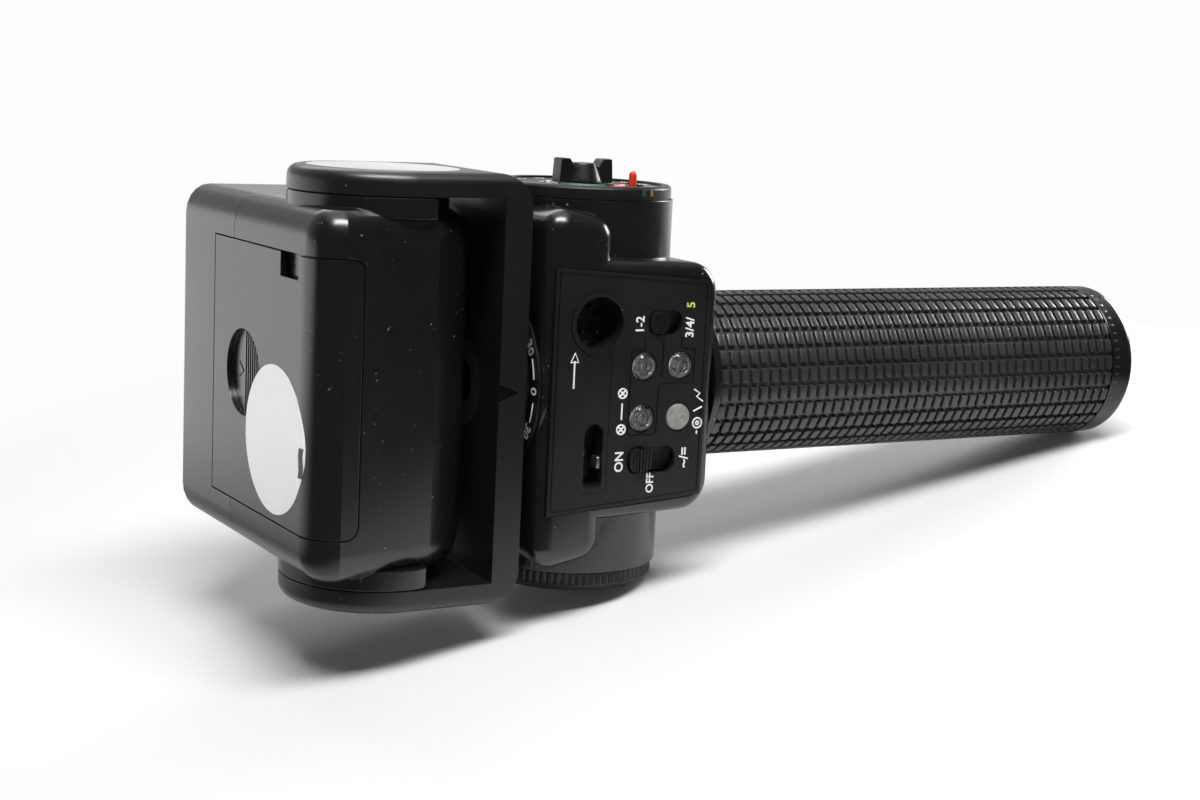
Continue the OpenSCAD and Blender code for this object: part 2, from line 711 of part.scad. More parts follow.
module arm_form() hull() for (k = [0 : 4]) let (a = 22.5 * k)
  linear_extrude(2 * (arm_out - arm_edge * (1 - sin(a))), center = true)
    arm_outline(arm_edge * (1 - cos(a)));

module u_outline() difference() {
  slot_2d([-pivot_x, 0], [2 * (pivot_x - base_low), 2 * arm_out], base_corner);
  translate([-big - base_up, -arm_in]) square([big, 2 * arm_in]);
}

module yoke_frame() color("#151618") place() difference() {
  union() {
    intersection() {
      arm_form();
      along_y(-big, big) u_outline();
    }
    on_axis(-base_low - 1, -scale_top - free_gap, hub_round, pivot_y);
  }
  along_y(-big, near_face + arrow_depth) polygon([[-base_up - 1, arrow_half * (arrow_len + 1) / arrow_len],
    [-base_up - 1, -arrow_half * (arrow_len + 1) / arrow_len], [-base_up + arrow_len, 0]]);
  on_axis(-base_up - 1, 0, shaft_r + seat_gap, pivot_y);
  on_axis(-base_up - 1, -base_up + 1.6, shaft_r + 3 + seat_gap, pivot_y);
  both_sides() {
    up_axis(pivot, arm_in - 1, arm_out, pin_r + seat_gap);
    up_axis(pivot, arm_out - cover_disc_t - pin_cap_t, arm_out, pin_cap_r + seat_gap);
    up_axis(pivot, arm_out - cover_disc_t, arm_out + 1, cover_disc_r + seat_gap);
  }
}

module tilt_pins() color("#a9acb0") place() both_sides() {
  up_axis(pivot, head_half - 8, arm_out - cover_disc_t - 0.1, pin_r);
  up_axis(pivot, arm_out - cover_disc_t - pin_cap_t + eps, arm_out - cover_disc_t - 0.05, pin_cap_r);
}

module pivot_covers() color("#17181a") place() both_sides()
  up_axis(pivot, arm_out - cover_disc_t + eps, arm_out, cover_disc_r);

module tilt_washers() color("#c2c4c6") place() both_sides() difference() {
  up_axis(pivot, boss_out - washer_t, boss_out + free_gap / 2, washer_r);
  up_axis(pivot, 0, arm_out, pin_r + 0.3);
}

// Lamp head
function top_at(y) = -(head_top + top_slope * (y + head_rear - top_corner));
function swing(a, r) = [-pivot_x + r * cos(a), pivot_y + r * sin(a)];
function heading(p, q) = atan2(q[1] - p[1], q[0] - p[0]);
function rounded(p, q, s, r, n = 3) = let (a = heading(p, q), b = heading(q, s),
    back = r * tan((b - a) / 2),
    c = q - back * [cos(a), sin(a)] + r * [-sin(a), cos(a)])
  arc(c, r, a - 90, b - 90, n);

function head_outline(inset) = let (
    c = [top_at(-head_rear + top_corner) + top_corner, -head_rear + top_corner],
    f = [top_at(head_front) + front_corner, head_front - front_corner],
    g = [-head_low - front_corner, head_front - front_corner],
    tilt = atan(top_slope),
    low = [for (a = [crease_angle, ridge_angle, foot_angle]) swing(a, swing_r - free_gap - inset)])
  concat(
    arc(g, front_corner - inset, 0, 90, 6),
    arc(f, front_corner - inset, 90, 180 - tilt, 6),
    arc(c, top_corner - inset, 180 - tilt, 258, 8),
    [low[0]], rounded(low[0], low[1], low[2], ridge_r), [low[2]]);

module head_form(inset = 0) let (edge = head_edge - inset) hull() for (k = [0 : 5]) let (a = 18 * k)
  linear_extrude(2 * (head_half - inset - edge * (1 - sin(a))), center = true)
    polygon(head_outline(inset + edge * 0.8 * (1 - cos(a))));

module cover_band(inset, grow) intersection() {
  difference() {
    polygon(head_outline(inset));
    polygon(head_outline(cover_t + grow));
  }
  translate([-big, -big]) square([big + top_at(0) + cover_lap + grow, big + cover_front + grow]);
}

module cover_shape(grow) intersection() {
  linear_extrude(2 * (cover_half + grow), center = true) cover_band(-grow * 10, grow);
  along_y(-big, big) slot_2d([top_at(0) + cover_lap - big / 2, 0],
    [big, 2 * cover_half] + 2 * grow * [1, 1], lap_round + grow);
}

module pivot_boss() {
  up_axis(pivot, head_half - 8, boss_out, pin_r + 4);
  up_axis(pivot, head_half - head_wall, boss_out, washer_r + 2);
  translate([0, 0, head_half - head_wall]) linear_extrude(boss_out - head_half + head_wall) difference() {
    translate([-pivot_x, pivot_y]) circle(arm_r);
    translate([-pivot_x + boss_end, -big]) square([big, 2 * big]);
    translate([-pivot_x, pivot_y]) rotate(-tilt_max) translate([swing_r, -big]) square([big, 2 * big]);
  }
}

module pivot_bore() {
  up_axis(pivot, head_half - 9, arm_out, pin_r + run_gap);
  up_axis(pivot, boss_out - washer_t - seat_gap, arm_out, washer_r + seat_gap);
}

module head_rear_shell() color("#17181a") place() difference() {
  union() {
    difference() {
      intersection() {
        head_form();
        translate([-big, -big, -big]) cube([2 * big, big + seam_y, 2 * big]);
      }
      head_form(head_wall);
    }
    intersection() {
      both_sides() pivot_boss();
      translate([-big, -big, -big]) cube([2 * big, big + seam_y, 2 * big]);
    }
    intersection() {
      linear_extrude(2 * cover_half + 6, center = true) difference() {
        polygon(head_outline(1));
        polygon(head_outline(cover_t + free_gap + 1.6));
      }
      translate([-big, -big, -big]) cube([big + top_at(0) + cover_lap + 3, big + seam_y, 2 * big]);
    }
  }
  both_sides() pivot_bore();
  cover_shape(free_gap);
  translate([-big, cell_y - 1.5 * cell_pitch - tray_wall - 0.6, -cell_len / 2 - tray_wall - 2])
    cube([big - tray_top + 12, 3 * cell_pitch + 2 * tray_wall + 1.2, cell_len + 2 * tray_wall + 4]);
}

module head_front_bezel() color("#191a1c") place() difference() {
  intersection() {
    head_form();
    translate([-big, seam_y + eps, -big]) cube([2 * big, big, 2 * big]);
  }
  intersection() {
    head_form(head_wall);
    translate([-big, -big, -big]) cube([2 * big, big + head_front - bezel_t, 2 * big]);
  }
  cover_shape(free_gap);
  translate([lens_at - lens_h / 2, 0, -lens_half]) cube([lens_h, big, 2 * lens_half]);
}

module lamp_window() color("#dfe6ea", 0.5) place() {
  translate([lens_at - lens_h / 2 - lens_rim, flange_y, -lens_half - lens_rim])
    cube([lens_h + 2 * lens_rim, flange_t - eps, 2 * (lens_half + lens_rim)]);
  translate([lens_at - lens_h / 2 + seat_gap, head_front - bezel_t - 0.1, -lens_half + seat_gap])
    cube([lens_h - 2 * seat_gap, bezel_t - lens_sink + 0.1, 2 * lens_half - 2 * seat_gap]);
  for (i = [1 : lens_ribs]) translate([lens_at - lens_h / 2 + lens_h * i / (lens_ribs + 1),
      head_front - lens_sink - 0.1, -lens_half + 1])
    cylinder(r = 0.7, h = 2 * lens_half - 2, $fn = 24);
}

function trough(half, depth, n = 12) =
  [for (i = [-n : n]) [lens_at + half * i / n, mouth_y - depth * (1 - (i / n) * (i / n))]];

module reflector() color("#d9dcdf") place() {
  translate([0, 0, -lens_half + 2]) linear_extrude(2 * lens_half - 4) difference() {
    polygon(trough(lens_h / 2 - 0.6, trough_depth));
    polygon([for (p = trough(lens_h / 2 - 0.6 - trough_t, trough_depth - trough_t)) p + [0, eps]]);
  }
  for (m = [0, 1]) mirror([0, 0, m]) translate([0, 0, lens_half - 2]) linear_extrude(trough_t) difference() {
    polygon(trough(lens_h / 2 - 0.6, trough_depth));
    translate([lens_at, tube_y]) circle(tube_glass_r + 1.2);
  }
}

module flash_tube() color("#e8eef2", 0.6) place()
  up_axis([lens_at, tube_y], -lens_half - 1, lens_half + 1, tube_glass_r);

module tube_holders() color("#8a8d90") place() both_sides() difference() {
  up_axis([lens_at, tube_y], lens_half - 2 + trough_t + eps, lens_half + 3, tube_glass_r + 2.2);
  up_axis([lens_at, tube_y], lens_half - 4, lens_half + 1, tube_glass_r + seat_gap);
}

module trigger_coil() color("#7a2f22") place()
  translate([lens_at + 12, seam_y - 1, head_half - head_wall - coil_len - coil_flange - seat_gap]) {
  cylinder(r = coil_r, h = coil_len);
  translate([0, 0, -coil_flange]) cylinder(r = coil_r + 1.5, h = coil_flange);
  translate([0, 0, coil_len]) cylinder(r = coil_r + 1.5, h = coil_flange);
}

module battery_cover() color("#1a1b1d") place() difference() {
  cover_shape(0);
  translate([top_at(thumb_at[0]) - 1, thumb_at[0], thumb_at[1]]) rotate([0, 90, 0])
    cylinder(r = thumb_r, h = 1 + thumb_depth);
  translate([top_at(cable_y) - 3, cable_y - cable_notch[0] / 2, cover_half - cable_notch[1]])
    cube([8, cable_notch[0], cable_notch[1] + 1]);
}

module battery_tray() color("#2a2c2f") place() difference() {
  intersection() {
    translate([-tray_top, tray_y0, -cell_len / 2 - tray_wall - 1])
      cube([tray_top - tray_low, tray_len, cell_len + 2 * tray_wall + 2]);
    linear_extrude(2 * head_half, center = true) polygon(head_outline(head_wall + free_gap));
  }
  translate([-tray_top - 1, tray_y0 + tray_wall, -cell_len / 2 - 1])
    cube([tray_top - tray_low + 1 - tray_wall, tray_len - 2 * tray_wall, cell_len + 2]);
}

module battery_cells() color("#4a6a86") place() for (i = cell_row, x = cell_x) {
  up_axis([x, cell_y + i * cell_pitch], -cell_len / 2, cell_len / 2 - 1.2, cell_r);
  up_axis([x, cell_y + i * cell_pitch], cell_len / 2 - 1.3, cell_len / 2, 2.7);
}

module cell_contacts() color("#c2c4c6") place() for (i = cell_row, x = cell_x) both_sides()
  up_axis([x, cell_y + i * cell_pitch], cell_len / 2 + 0.1, cell_len / 2 + 0.98, 3.6);

rubber_grip();
grip_collar();
handle_tube();
end_cap();
main_capacitor();
body_rear_shell();
body_front_shell();
body_screws();
bracket_socket();
swivel_scale();
swivel_bearing();
swivel_clip();
control_panel();
sensor_socket();
socket_contacts();
lamp_windows();
signal_lamps();
mode_slider();
mode_switch();
power_slider();
power_switch();
test_button();
test_switch();
circuit_board();
transformer();
dial_deck();
dial_bezel();
dial_plate();
speed_disc();
setting_pin();
wing_knob();
knob_spindle();
dial_control();
knurled_wheel();
wheel_stud();
wheel_bush();
yoke_frame();
swivel_shaft();
tilt_pins();
tilt_washers();
pivot_covers();
head_rear_shell();
head_front_bezel();
lamp_window();
reflector();
flash_tube();
tube_holders();
trigger_coil();
battery_cover();
battery_tray();
battery_cells();
cell_contacts();
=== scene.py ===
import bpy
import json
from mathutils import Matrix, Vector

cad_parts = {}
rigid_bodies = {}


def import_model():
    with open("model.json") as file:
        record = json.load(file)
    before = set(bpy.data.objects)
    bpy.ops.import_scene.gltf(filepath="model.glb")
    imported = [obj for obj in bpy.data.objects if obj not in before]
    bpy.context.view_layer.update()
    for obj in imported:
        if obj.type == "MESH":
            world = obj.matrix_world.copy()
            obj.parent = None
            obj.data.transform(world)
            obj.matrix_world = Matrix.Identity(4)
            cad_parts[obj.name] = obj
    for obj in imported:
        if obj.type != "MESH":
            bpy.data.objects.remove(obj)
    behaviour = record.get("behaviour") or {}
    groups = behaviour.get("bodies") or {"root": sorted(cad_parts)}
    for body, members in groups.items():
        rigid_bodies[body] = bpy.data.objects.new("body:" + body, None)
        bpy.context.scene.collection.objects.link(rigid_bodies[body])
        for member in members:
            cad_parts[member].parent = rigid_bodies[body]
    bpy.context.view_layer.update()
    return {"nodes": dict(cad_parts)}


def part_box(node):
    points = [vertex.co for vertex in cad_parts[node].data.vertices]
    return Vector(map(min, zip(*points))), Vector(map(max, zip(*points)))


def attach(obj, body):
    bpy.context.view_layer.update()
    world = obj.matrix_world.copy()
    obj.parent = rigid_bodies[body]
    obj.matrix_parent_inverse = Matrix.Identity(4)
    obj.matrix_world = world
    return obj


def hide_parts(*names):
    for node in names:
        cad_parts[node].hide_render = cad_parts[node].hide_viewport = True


bl_info = {
    "name": "Handle Mount Flash",
    "version": (1, 0, 0),
    "blender": (4, 5, 0),
    "location": "View3D > Sidebar > Flash",
    "description": "Grip, printed marks, lamps, finishes and studio of the handle mount flash",
    "category": "Object",
}

import json
import math

import bmesh
import bpy
from bpy.props import FloatProperty, FloatVectorProperty, IntProperty, PointerProperty
from mathutils import Matrix, Vector

for leftover in list(bpy.data.objects):
    bpy.data.objects.remove(leftover)
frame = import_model()

MM = 0.001
FULL_TURN = 2 * math.pi
X_AXIS, Y_AXIS, Z_AXIS = Vector((1, 0, 0)), Vector((0, 1, 0)), Vector((0, 0, 1))


def middle(node):
    low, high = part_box(node)
    return (low + high) / 2


# The joint of body and handle, on the handle's axis: places below are in mm from it
JOINT = Vector((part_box("grip_collar")[0].x, middle("handle_tube").y, middle("handle_tube").z))
DIAL = middle("dial_bezel")
SWIVEL = middle("swivel_scale")
PANEL_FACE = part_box("control_panel")[0].y
PLATE_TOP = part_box("dial_plate")[1].z
SCALE_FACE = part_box("swivel_scale")[0].x


def spot(x, y, z):
    """The shared frame's point for a place in mm from the joint."""
    return JOINT + Vector((x, y, z)) * MM


def on_panel(x, z, proud=0.0):
    """A point on the control panel's face, in mm along and across the handle."""
    place = spot(x, 0, z)
    place.y = PANEL_FACE - proud * MM
    return place


# Settings

class FlashSizes(bpy.types.PropertyGroup):
    """Sizes of the pieces that are modelled here, in mm."""

    grip_rings: IntProperty(name="Grip rings", description="Rings of blocks along the grip", default=45)
    grip_rows: IntProperty(name="Grip rows", description="Blocks around the grip", default=28)
    ring_groove: FloatProperty(name="Ring groove", description="Width of the ring grooves", default=1.0)
    row_groove: FloatProperty(name="Row groove", description="Width of the lengthwise grooves", default=1.3)
    groove_depth: FloatProperty(name="Groove depth", description="Height of the grip's blocks", default=1.1)
    block_round: FloatProperty(name="Block rounding", description="Rounding of a block's edges", default=0.3)
    cap_band: FloatProperty(name="End band", description="Length of the smooth band at the grip's end",
                            default=3.1)
    print_height: FloatProperty(name="Print height", description="Height of printed marks", default=0.05)
    label_radius: FloatProperty(name="Label radius", description="Radius of the white round label",
                                default=19.0)
    label_height: FloatProperty(name="Label height", description="Thickness of the label", default=0.12)
    # The panel's groove lines are near-black wires of painted groove shade
    line_width: FloatProperty(name="Line width", description="Width of the panel's inlaid lines",
                              default=0.34)
    letter: FloatProperty(name="Letter size", description="Size of the panel's printed letters", default=3.5)


def colour_setting(name, description, default):
    return FloatVectorProperty(name=name, description=description, subtype="COLOR", size=3, default=default)


class FlashColours(bpy.types.PropertyGroup):
    """Colours of the finishes."""

    shell: colour_setting("Shell", "Moulded shells", (0.0054, 0.0054, 0.0056))
    rubber: colour_setting("Rubber", "Grip rubber", (0.022, 0.022, 0.0225))
    panel: colour_setting("Panel", "Control panel", (0.0060, 0.0060, 0.0063))
    pin: colour_setting("Pin", "Setting pin", (0.78, 0.045, 0.016))
    white: colour_setting("White", "White print", (0.86, 0.86, 0.84))
    lime: colour_setting("Lime", "Yellow-green print", (0.56, 0.68, 0.10))
    green: colour_setting("Green", "Green print", (0.015, 0.17, 0.06))
    teal: colour_setting("Teal", "Teal print", (0.010, 0.060, 0.070))
    amber: colour_setting("Amber", "Amber print", (0.17, 0.115, 0.012))
    label: colour_setting("Label", "Paper label", (0.96, 0.96, 0.955))


class FlashStage(bpy.types.PropertyGroup):
    """Light and camera."""

    key_power: FloatProperty(name="Key power", description="Soft box before the part",
                             default=12.0, unit="POWER")
    side_power: FloatProperty(name="Side power", description="Low soft box at the right",
                              default=8.5, unit="POWER")
    back_power: FloatProperty(name="Back power", description="Soft box beyond the part",
                              default=2.7, unit="POWER")
    sky: FloatProperty(name="Sky", description="Low light from the white surroundings", default=1.6)
    backdrop: FloatProperty(name="Backdrop", description="Mirrored brightness beyond the part", default=1.3)
    dark_side: FloatProperty(name="Dark side", description="Mirrored brightness before the part",
                             default=0.04)
    white: FloatProperty(name="White", description="Level of the white ground in the picture", default=0.98)
    focal: FloatProperty(name="Focal length", description="Lens in mm on a 36 mm frame", default=56.4)


def sizes():
    return bpy.context.scene.flash_sizes


def colours():
    return bpy.context.scene.flash_colours


# Modelling helpers

def clear_selection():
    if bpy.context.mode != "OBJECT":
        bpy.ops.object.mode_set(mode="OBJECT")
    bpy.ops.object.select_all(action="DESELECT")


def take(*pieces):
    """Makes these pieces the selection, the first one active."""
    clear_selection()
    for piece in pieces:
        piece.select_set(True)
    bpy.context.view_layer.objects.active = pieces[0]
    return pieces[0]


def open_mesh(piece, everything=False):
    take(piece)
    bpy.ops.object.mode_set(mode="EDIT")
    bpy.ops.mesh.select_all(action="SELECT" if everything else "DESELECT")


def close_mesh():
    bpy.ops.object.mode_set(mode="OBJECT")


def choose_edges(piece, test):
    """Selects the edges, in edit mode, whose two ends pass a test of their places."""
    form = bmesh.from_edit_mesh(piece.data)
    bpy.context.tool_settings.mesh_select_mode = (False, True, False)
    for edge in form.edges:
        edge.select_set(test(edge.verts[0].co, edge.verts[1].co))
    form.select_flush_mode()
    bmesh.update_edit_mesh(piece.data)


def choose_faces(piece, test):
    """Selects the faces, in edit mode, whose middle and direction pass a test."""
    form = bmesh.from_edit_mesh(piece.data)
    bpy.context.tool_settings.mesh_select_mode = (False, False, True)
    for face in form.faces:
        face.select_set(test(face.calc_center_median(), face.normal))
    form.select_flush_mode()
    bmesh.update_edit_mesh(piece.data)


def modify(piece, kind, **settings):
    """Adds a modifier with these settings and applies it."""
    take(piece)
    modifier = piece.modifiers.new(kind, kind)
    for key, value in settings.items():
        setattr(modifier, key, value)
    bpy.ops.object.modifier_apply(modifier=modifier.name)


def join(pieces):
    piece = take(*pieces)
    if len(pieces) > 1:
        bpy.ops.object.join()
    return piece


def turn_to(piece, place, right, up):
    """Puts a piece that was made flat in XY at a place, its X along right and its Y along up."""
    out = right.cross(up)
    axes = Matrix((right, up, out)).transposed().to_4x4()
    piece.matrix_world = Matrix.Translation(place) @ axes
    take(piece)
    bpy.ops.object.transform_apply(location=True, rotation=True, scale=True)
    return piece


def settle(piece, name, body, finish, angle=35):
    """Names a finished piece, shades it, gives it its finish and lets it ride on its body."""
    take(piece)
    bpy.ops.object.transform_apply(location=True, rotation=True, scale=True)
    bpy.ops.object.shade_smooth_by_angle(angle=math.radians(angle))
    piece.name = piece.data.name = name
    piece.data.materials.clear()
    piece.data.materials.append(finish)
    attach(piece, body)
    return piece


def block(size, place, bevel=0.0, segments=2):
    """A box of this size in metres around a place, its edges broken."""
    clear_selection()
    bpy.ops.mesh.primitive_cube_add(size=1, location=place)
    piece = bpy.context.object
    piece.scale = size
    bpy.ops.object.transform_apply(location=True, rotation=True, scale=True)
    if bevel:
        open_mesh(piece, True)
        bpy.ops.mesh.bevel(offset=bevel, segments=segments, affect="EDGES")
        close_mesh()
    return piece


def lathe(profile, place, right, up, steps=48):
    """Spins a profile of (radius, height) in mm round its height axis, which then looks along right x up."""
    mesh = bpy.data.meshes.new("profile")
    mesh.from_pydata([(r * MM, 0, h * MM) for r, h in profile],
                     [(i, i + 1) for i in range(len(profile) - 1)], [])
    piece = bpy.data.objects.new("profile", mesh)
    bpy.context.scene.collection.objects.link(piece)
    open_mesh(piece, True)
    bpy.ops.mesh.spin(steps=steps, angle=FULL_TURN, center=(0, 0, 0), axis=(0, 0, 1))
    bpy.ops.mesh.select_all(action="SELECT")
    bpy.ops.mesh.remove_doubles(threshold=1e-6)
    bpy.ops.mesh.normals_make_consistent(inside=False)
    close_mesh()
    return turn_to(piece, place, right, up)


def wire(points, width, closed=False):
    """A round line of this width in metres through these points."""
    curve = bpy.data.curves.new("line", "CURVE")
    curve.dimensions = "3D"
    spline = curve.splines.new("POLY")
    spline.points.add(len(points) - 1)
    for point, place in zip(spline.points, points):
        point.co = (*place, 1)
    spline.use_cyclic_u = closed
    curve.bevel_depth = width / 2
    curve.bevel_resolution = 1
    curve.use_fill_caps = not closed
    piece = bpy.data.objects.new("line", curve)
    bpy.context.scene.collection.objects.link(piece)
    take(piece)
    bpy.ops.object.convert(target="MESH")
    return bpy.context.object


def lettering(text, size, place, right, up):
    """Printed text of this size in mm, centred on a place, as a thin mesh."""
    weight = 0.022
    clear_selection()
    bpy.ops.object.text_add()
    piece = bpy.context.object
    piece.data.body = text
    piece.data.size = size * MM
    piece.data.extrude = sizes().print_height * MM / 2
    piece.data.offset = weight * size * MM
    piece.data.resolution_u = 3
    piece.data.align_x, piece.data.align_y = "CENTER", "CENTER"
    bpy.ops.object.convert(target="MESH")
    return turn_to(bpy.context.object, place, right, up)


SAME_POINT = 2e-6
FLAT_ANGLE, SHARP_ANGLE = math.radians(0.4), math.radians(38)


def refined(node, name, body, finish, edge, angle):
    """A node's own form in its place: merged, its edges broken by edge mm, its facets shaded as one."""
    piece = bpy.data.objects.new(name, frame["nodes"][node].data.copy())
    bpy.context.scene.collection.objects.link(piece)
    open_mesh(piece, True)
    bpy.ops.mesh.customdata_custom_splitnormals_clear()
    bpy.ops.mesh.remove_doubles(threshold=SAME_POINT)
    bpy.ops.mesh.dissolve_limited(angle_limit=FLAT_ANGLE)
    close_mesh()
    if edge:
        modify(piece, "BEVEL", width=edge * MM, segments=2, limit_method="ANGLE",
               angle_limit=SHARP_ANGLE, use_clamp_overlap=False, loop_slide=False)
    settle(piece, name, body, finish, angle)
    modify(piece, "WEIGHTED_NORMAL", keep_sharp=True, weight=80)
    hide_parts(node)
    return piece


# Finishes

class Flow:
    """A shader socket that takes part in Python arithmetic."""

    def __init__(self, tree, socket):
        self.tree, self.socket = tree, socket

    def calc(self, operation, first, second, clamp=False):
        node = self.tree.nodes.new("ShaderNodeMath")
        node.operation = operation
        node.use_clamp = clamp
        for slot, value in zip(node.inputs, (first, second)):
            if isinstance(value, Flow):
                self.tree.links.new(value.socket, slot)
            else:
                slot.default_value = value
        return Flow(self.tree, node.outputs[0])

    def __add__(self, other):
        return self.calc("ADD", self, other)

    __radd__ = __add__

    def __sub__(self, other):
        return self.calc("SUBTRACT", self, other)

    def __rsub__(self, other):
        return self.calc("SUBTRACT", other, self)

    def __mul__(self, other):
        return self.calc("MULTIPLY", self, other)

    __rmul__ = __mul__

    def __lt__(self, other):
        return self.calc("LESS_THAN", self, other)

    def most(self, other):
        return self.calc("MAXIMUM", self, other)

    def step(self, low, high):
        """0 below low, 1 above high and straight between."""
        return self.calc("MULTIPLY", self - low, 1 / (high - low), clamp=True)


class Finish:
    """A material and the nodes that make it."""

    def __init__(self, name, world=None):
        self.material = world or bpy.data.materials.new(name)
        self.material.use_nodes = True
        self.tree = self.material.node_tree
        self.shader = self.tree.nodes.get("Principled BSDF")
        self.object = self.node("ShaderNodeTexCoord", output="Object")

    def node(self, kind, settings=None, inputs=None, output=0):
        made = self.tree.nodes.new(kind)
        for key, value in (settings or {}).items():
            setattr(made, key, value)
        for key, value in (inputs or {}).items():
            self.feed(made.inputs[key], value)
        return Flow(self.tree, made.outputs[output])

    def feed(self, slot, value):
        if isinstance(value, Flow):
            self.tree.links.new(value.socket, slot)
        elif isinstance(value, tuple) and slot.type == "RGBA" and len(value) == 3:
            slot.default_value = (*value, 1)
        else:
            slot.default_value = value

    def surface(self, **inputs):
        for key, value in inputs.items():
            self.feed(self.shader.inputs[key.replace("_", " ")], value)
        return self.material

    def noise(self, scale, detail=3.0, roughness=0.55, where=None):
        return self.node("ShaderNodeTexNoise", None, {
            "Vector": where or self.object, "Scale": scale, "Detail": detail, "Roughness": roughness}, "Fac")

    def cells(self, scale, where=None):
        return self.node("ShaderNodeTexVoronoi", None, {
            "Vector": where or self.object, "Scale": scale}, "Distance")

    def stretched(self, scale, turn):
        return self.node("ShaderNodeMapping", None, {
            "Vector": self.object, "Scale": scale, "Rotation": turn})

    def rays(self):
        """1 for rays the camera sees, through clear pieces too, and 1 for mirrored rays."""
        path = self.tree.nodes.new("ShaderNodeLightPath")
        camera, mirrored, through = [Flow(self.tree, path.outputs[name])
                                     for name in ("Is Camera Ray", "Is Glossy Ray", "Is Transmission Ray")]
        return camera.most(through), mirrored * (1 - camera) * (1 - through)

    def grey(self, level):
        return self.node("ShaderNodeCombineColor", None, {0: level, 1: level, 2: level})

    def mix(self, share, first, second):
        return self.node("ShaderNodeMix", {"data_type": "RGBA"}, {0: share, 6: first, 7: second}, 2)

    def bump(self, height, strength, depth):
        return self.node("ShaderNodeBump", None, {
            "Height": height, "Strength": strength, "Distance": depth * MM})

    def specks(self, scale, reach):
        """Dust: a few small spots, of uneven size, in some of the cells of this scale."""
        return self.cells(scale) < reach * self.noise(scale * 0.7, 1.0).step(0.47, 0.72)

    def scratches(self, scale, reach):
        """Short fine scratches in two directions."""
        first = self.cells(scale, self.stretched((1, 14, 14), (0.3, 0.5, 0.9)))
        second = self.cells(scale, self.stretched((16, 1, 16), (0.8, 0.2, -0.4)))
        gate = self.noise(scale * 0.5, 2.0).step(0.55, 0.7)
        return (first < reach * gate).most(second < reach * gate)


SCRATCH_GREY, DUST_GREY, RUBBER_DUST = (0.14, 0.14, 0.14), (0.36, 0.36, 0.34), (0.34, 0.33, 0.31)
LABEL_SOIL, LABEL_SPOT = (0.60, 0.58, 0.55), (0.55, 0.42, 0.40)


def moulded(name, colour, rough, grain=0.12, dust=0.11, wear=0.09, specular=0.5):
    """Moulded plastic: fine spark-eroded grain, cloudy gloss from handling, dust and small scratches."""
    look = Finish(name)
    cloud = look.noise(38, 4.0, 0.6)
    fine = look.noise(3600, 2.0, 0.6)
    rub = look.noise(11, 3.0, 0.5).step(0.42, 0.68)
    dirt = look.specks(380, dust).most(look.specks(820, dust))
    scratch = look.scratches(70, wear)
    dark = tuple(colour)
    pale = tuple(c * 1.7 + 0.001 for c in colour)
    base = look.mix(cloud.step(0.35, 0.75) * 0.7, dark, pale)
    base = look.mix(scratch * 0.5, base, SCRATCH_GREY)
    base = look.mix(dirt * 0.5, base, DUST_GREY)
    gloss = rough + 0.10 * cloud - 0.07 * rub + 0.06 * fine + 0.25 * dirt
    relief = fine * 0.8 - 0.6 * scratch
    return look.surface(Base_Color=base, Roughness=gloss, Specular_IOR_Level=specular,
                        Normal=look.bump(relief, grain, 0.03))


def rubber(name, colour):
    """Grip rubber: cloudy, finely rough and a little dusty."""
    look = Finish(name)
    cloud = look.noise(24, 4.0, 0.6)
    fine = look.noise(2400, 3.0, 0.6)
    dirt = look.specks(260, 0.07)
    base = look.mix(cloud.step(0.35, 0.7) * 0.6, tuple(colour), tuple(c * 1.8 + 0.003 for c in colour))
    base = look.mix(dirt * 0.6, base, RUBBER_DUST)
    return look.surface(Base_Color=base, Roughness=0.26 + 0.14 * cloud + 0.08 * fine,
                        Specular_IOR_Level=0.8, Normal=look.bump(fine, 0.3, 0.04))


def ink(name, colour):
    """Screen-printed ink with thin places."""
    look = Finish(name)
    thin = look.noise(1500, 2.0).step(0.60, 0.78)
    base = look.mix(thin * 0.35, tuple(colour), tuple(c * 0.55 for c in colour))
    return look.surface(Base_Color=base, Roughness=0.45 + 0.2 * thin)


def metal(name, colour, rough):
    """Turned or drawn metal with fine lines and a dull film."""
    look = Finish(name)
    lines = look.noise(900, 3.0, 0.6, look.stretched((1, 1, 18), (0, 0, 0)))
    film = look.noise(120, 3.0)
    base = look.mix(film.step(0.4, 0.75) * 0.5, tuple(colour), tuple(c * 0.6 for c in colour))
    return look.surface(Base_Color=base, Metallic=1.0, Roughness=rough + 0.15 * lines + 0.08 * film,
                        Normal=look.bump(lines, 0.12, 0.02))


def clear_plastic(name, tint, rough):
    """Clear plastic with a faint haze."""
    look = Finish(name)
    haze = look.noise(300, 3.0).step(0.45, 0.8)
    return look.surface(Base_Color=look.mix(haze * 0.25, tint, tuple(c * 0.85 for c in tint)),
                        Roughness=rough + 0.10 * haze, Transmission_Weight=1.0, IOR=1.49)


def plain(name, colour, rough, scale=220, depth=0.02):
    """An inner part's finish: mottled colour and a faint surface."""
    look = Finish(name)
    mottle = look.noise(scale, 4.0, 0.6)
    dark, pale = tuple(c * 0.8 for c in colour), tuple(min(1, c * 1.2) for c in colour)
    base = look.mix(mottle.step(0.35, 0.7), dark, pale)
    return look.surface(Base_Color=base, Roughness=rough + 0.12 * mottle,
                        Normal=look.bump(mottle, 0.2, depth))


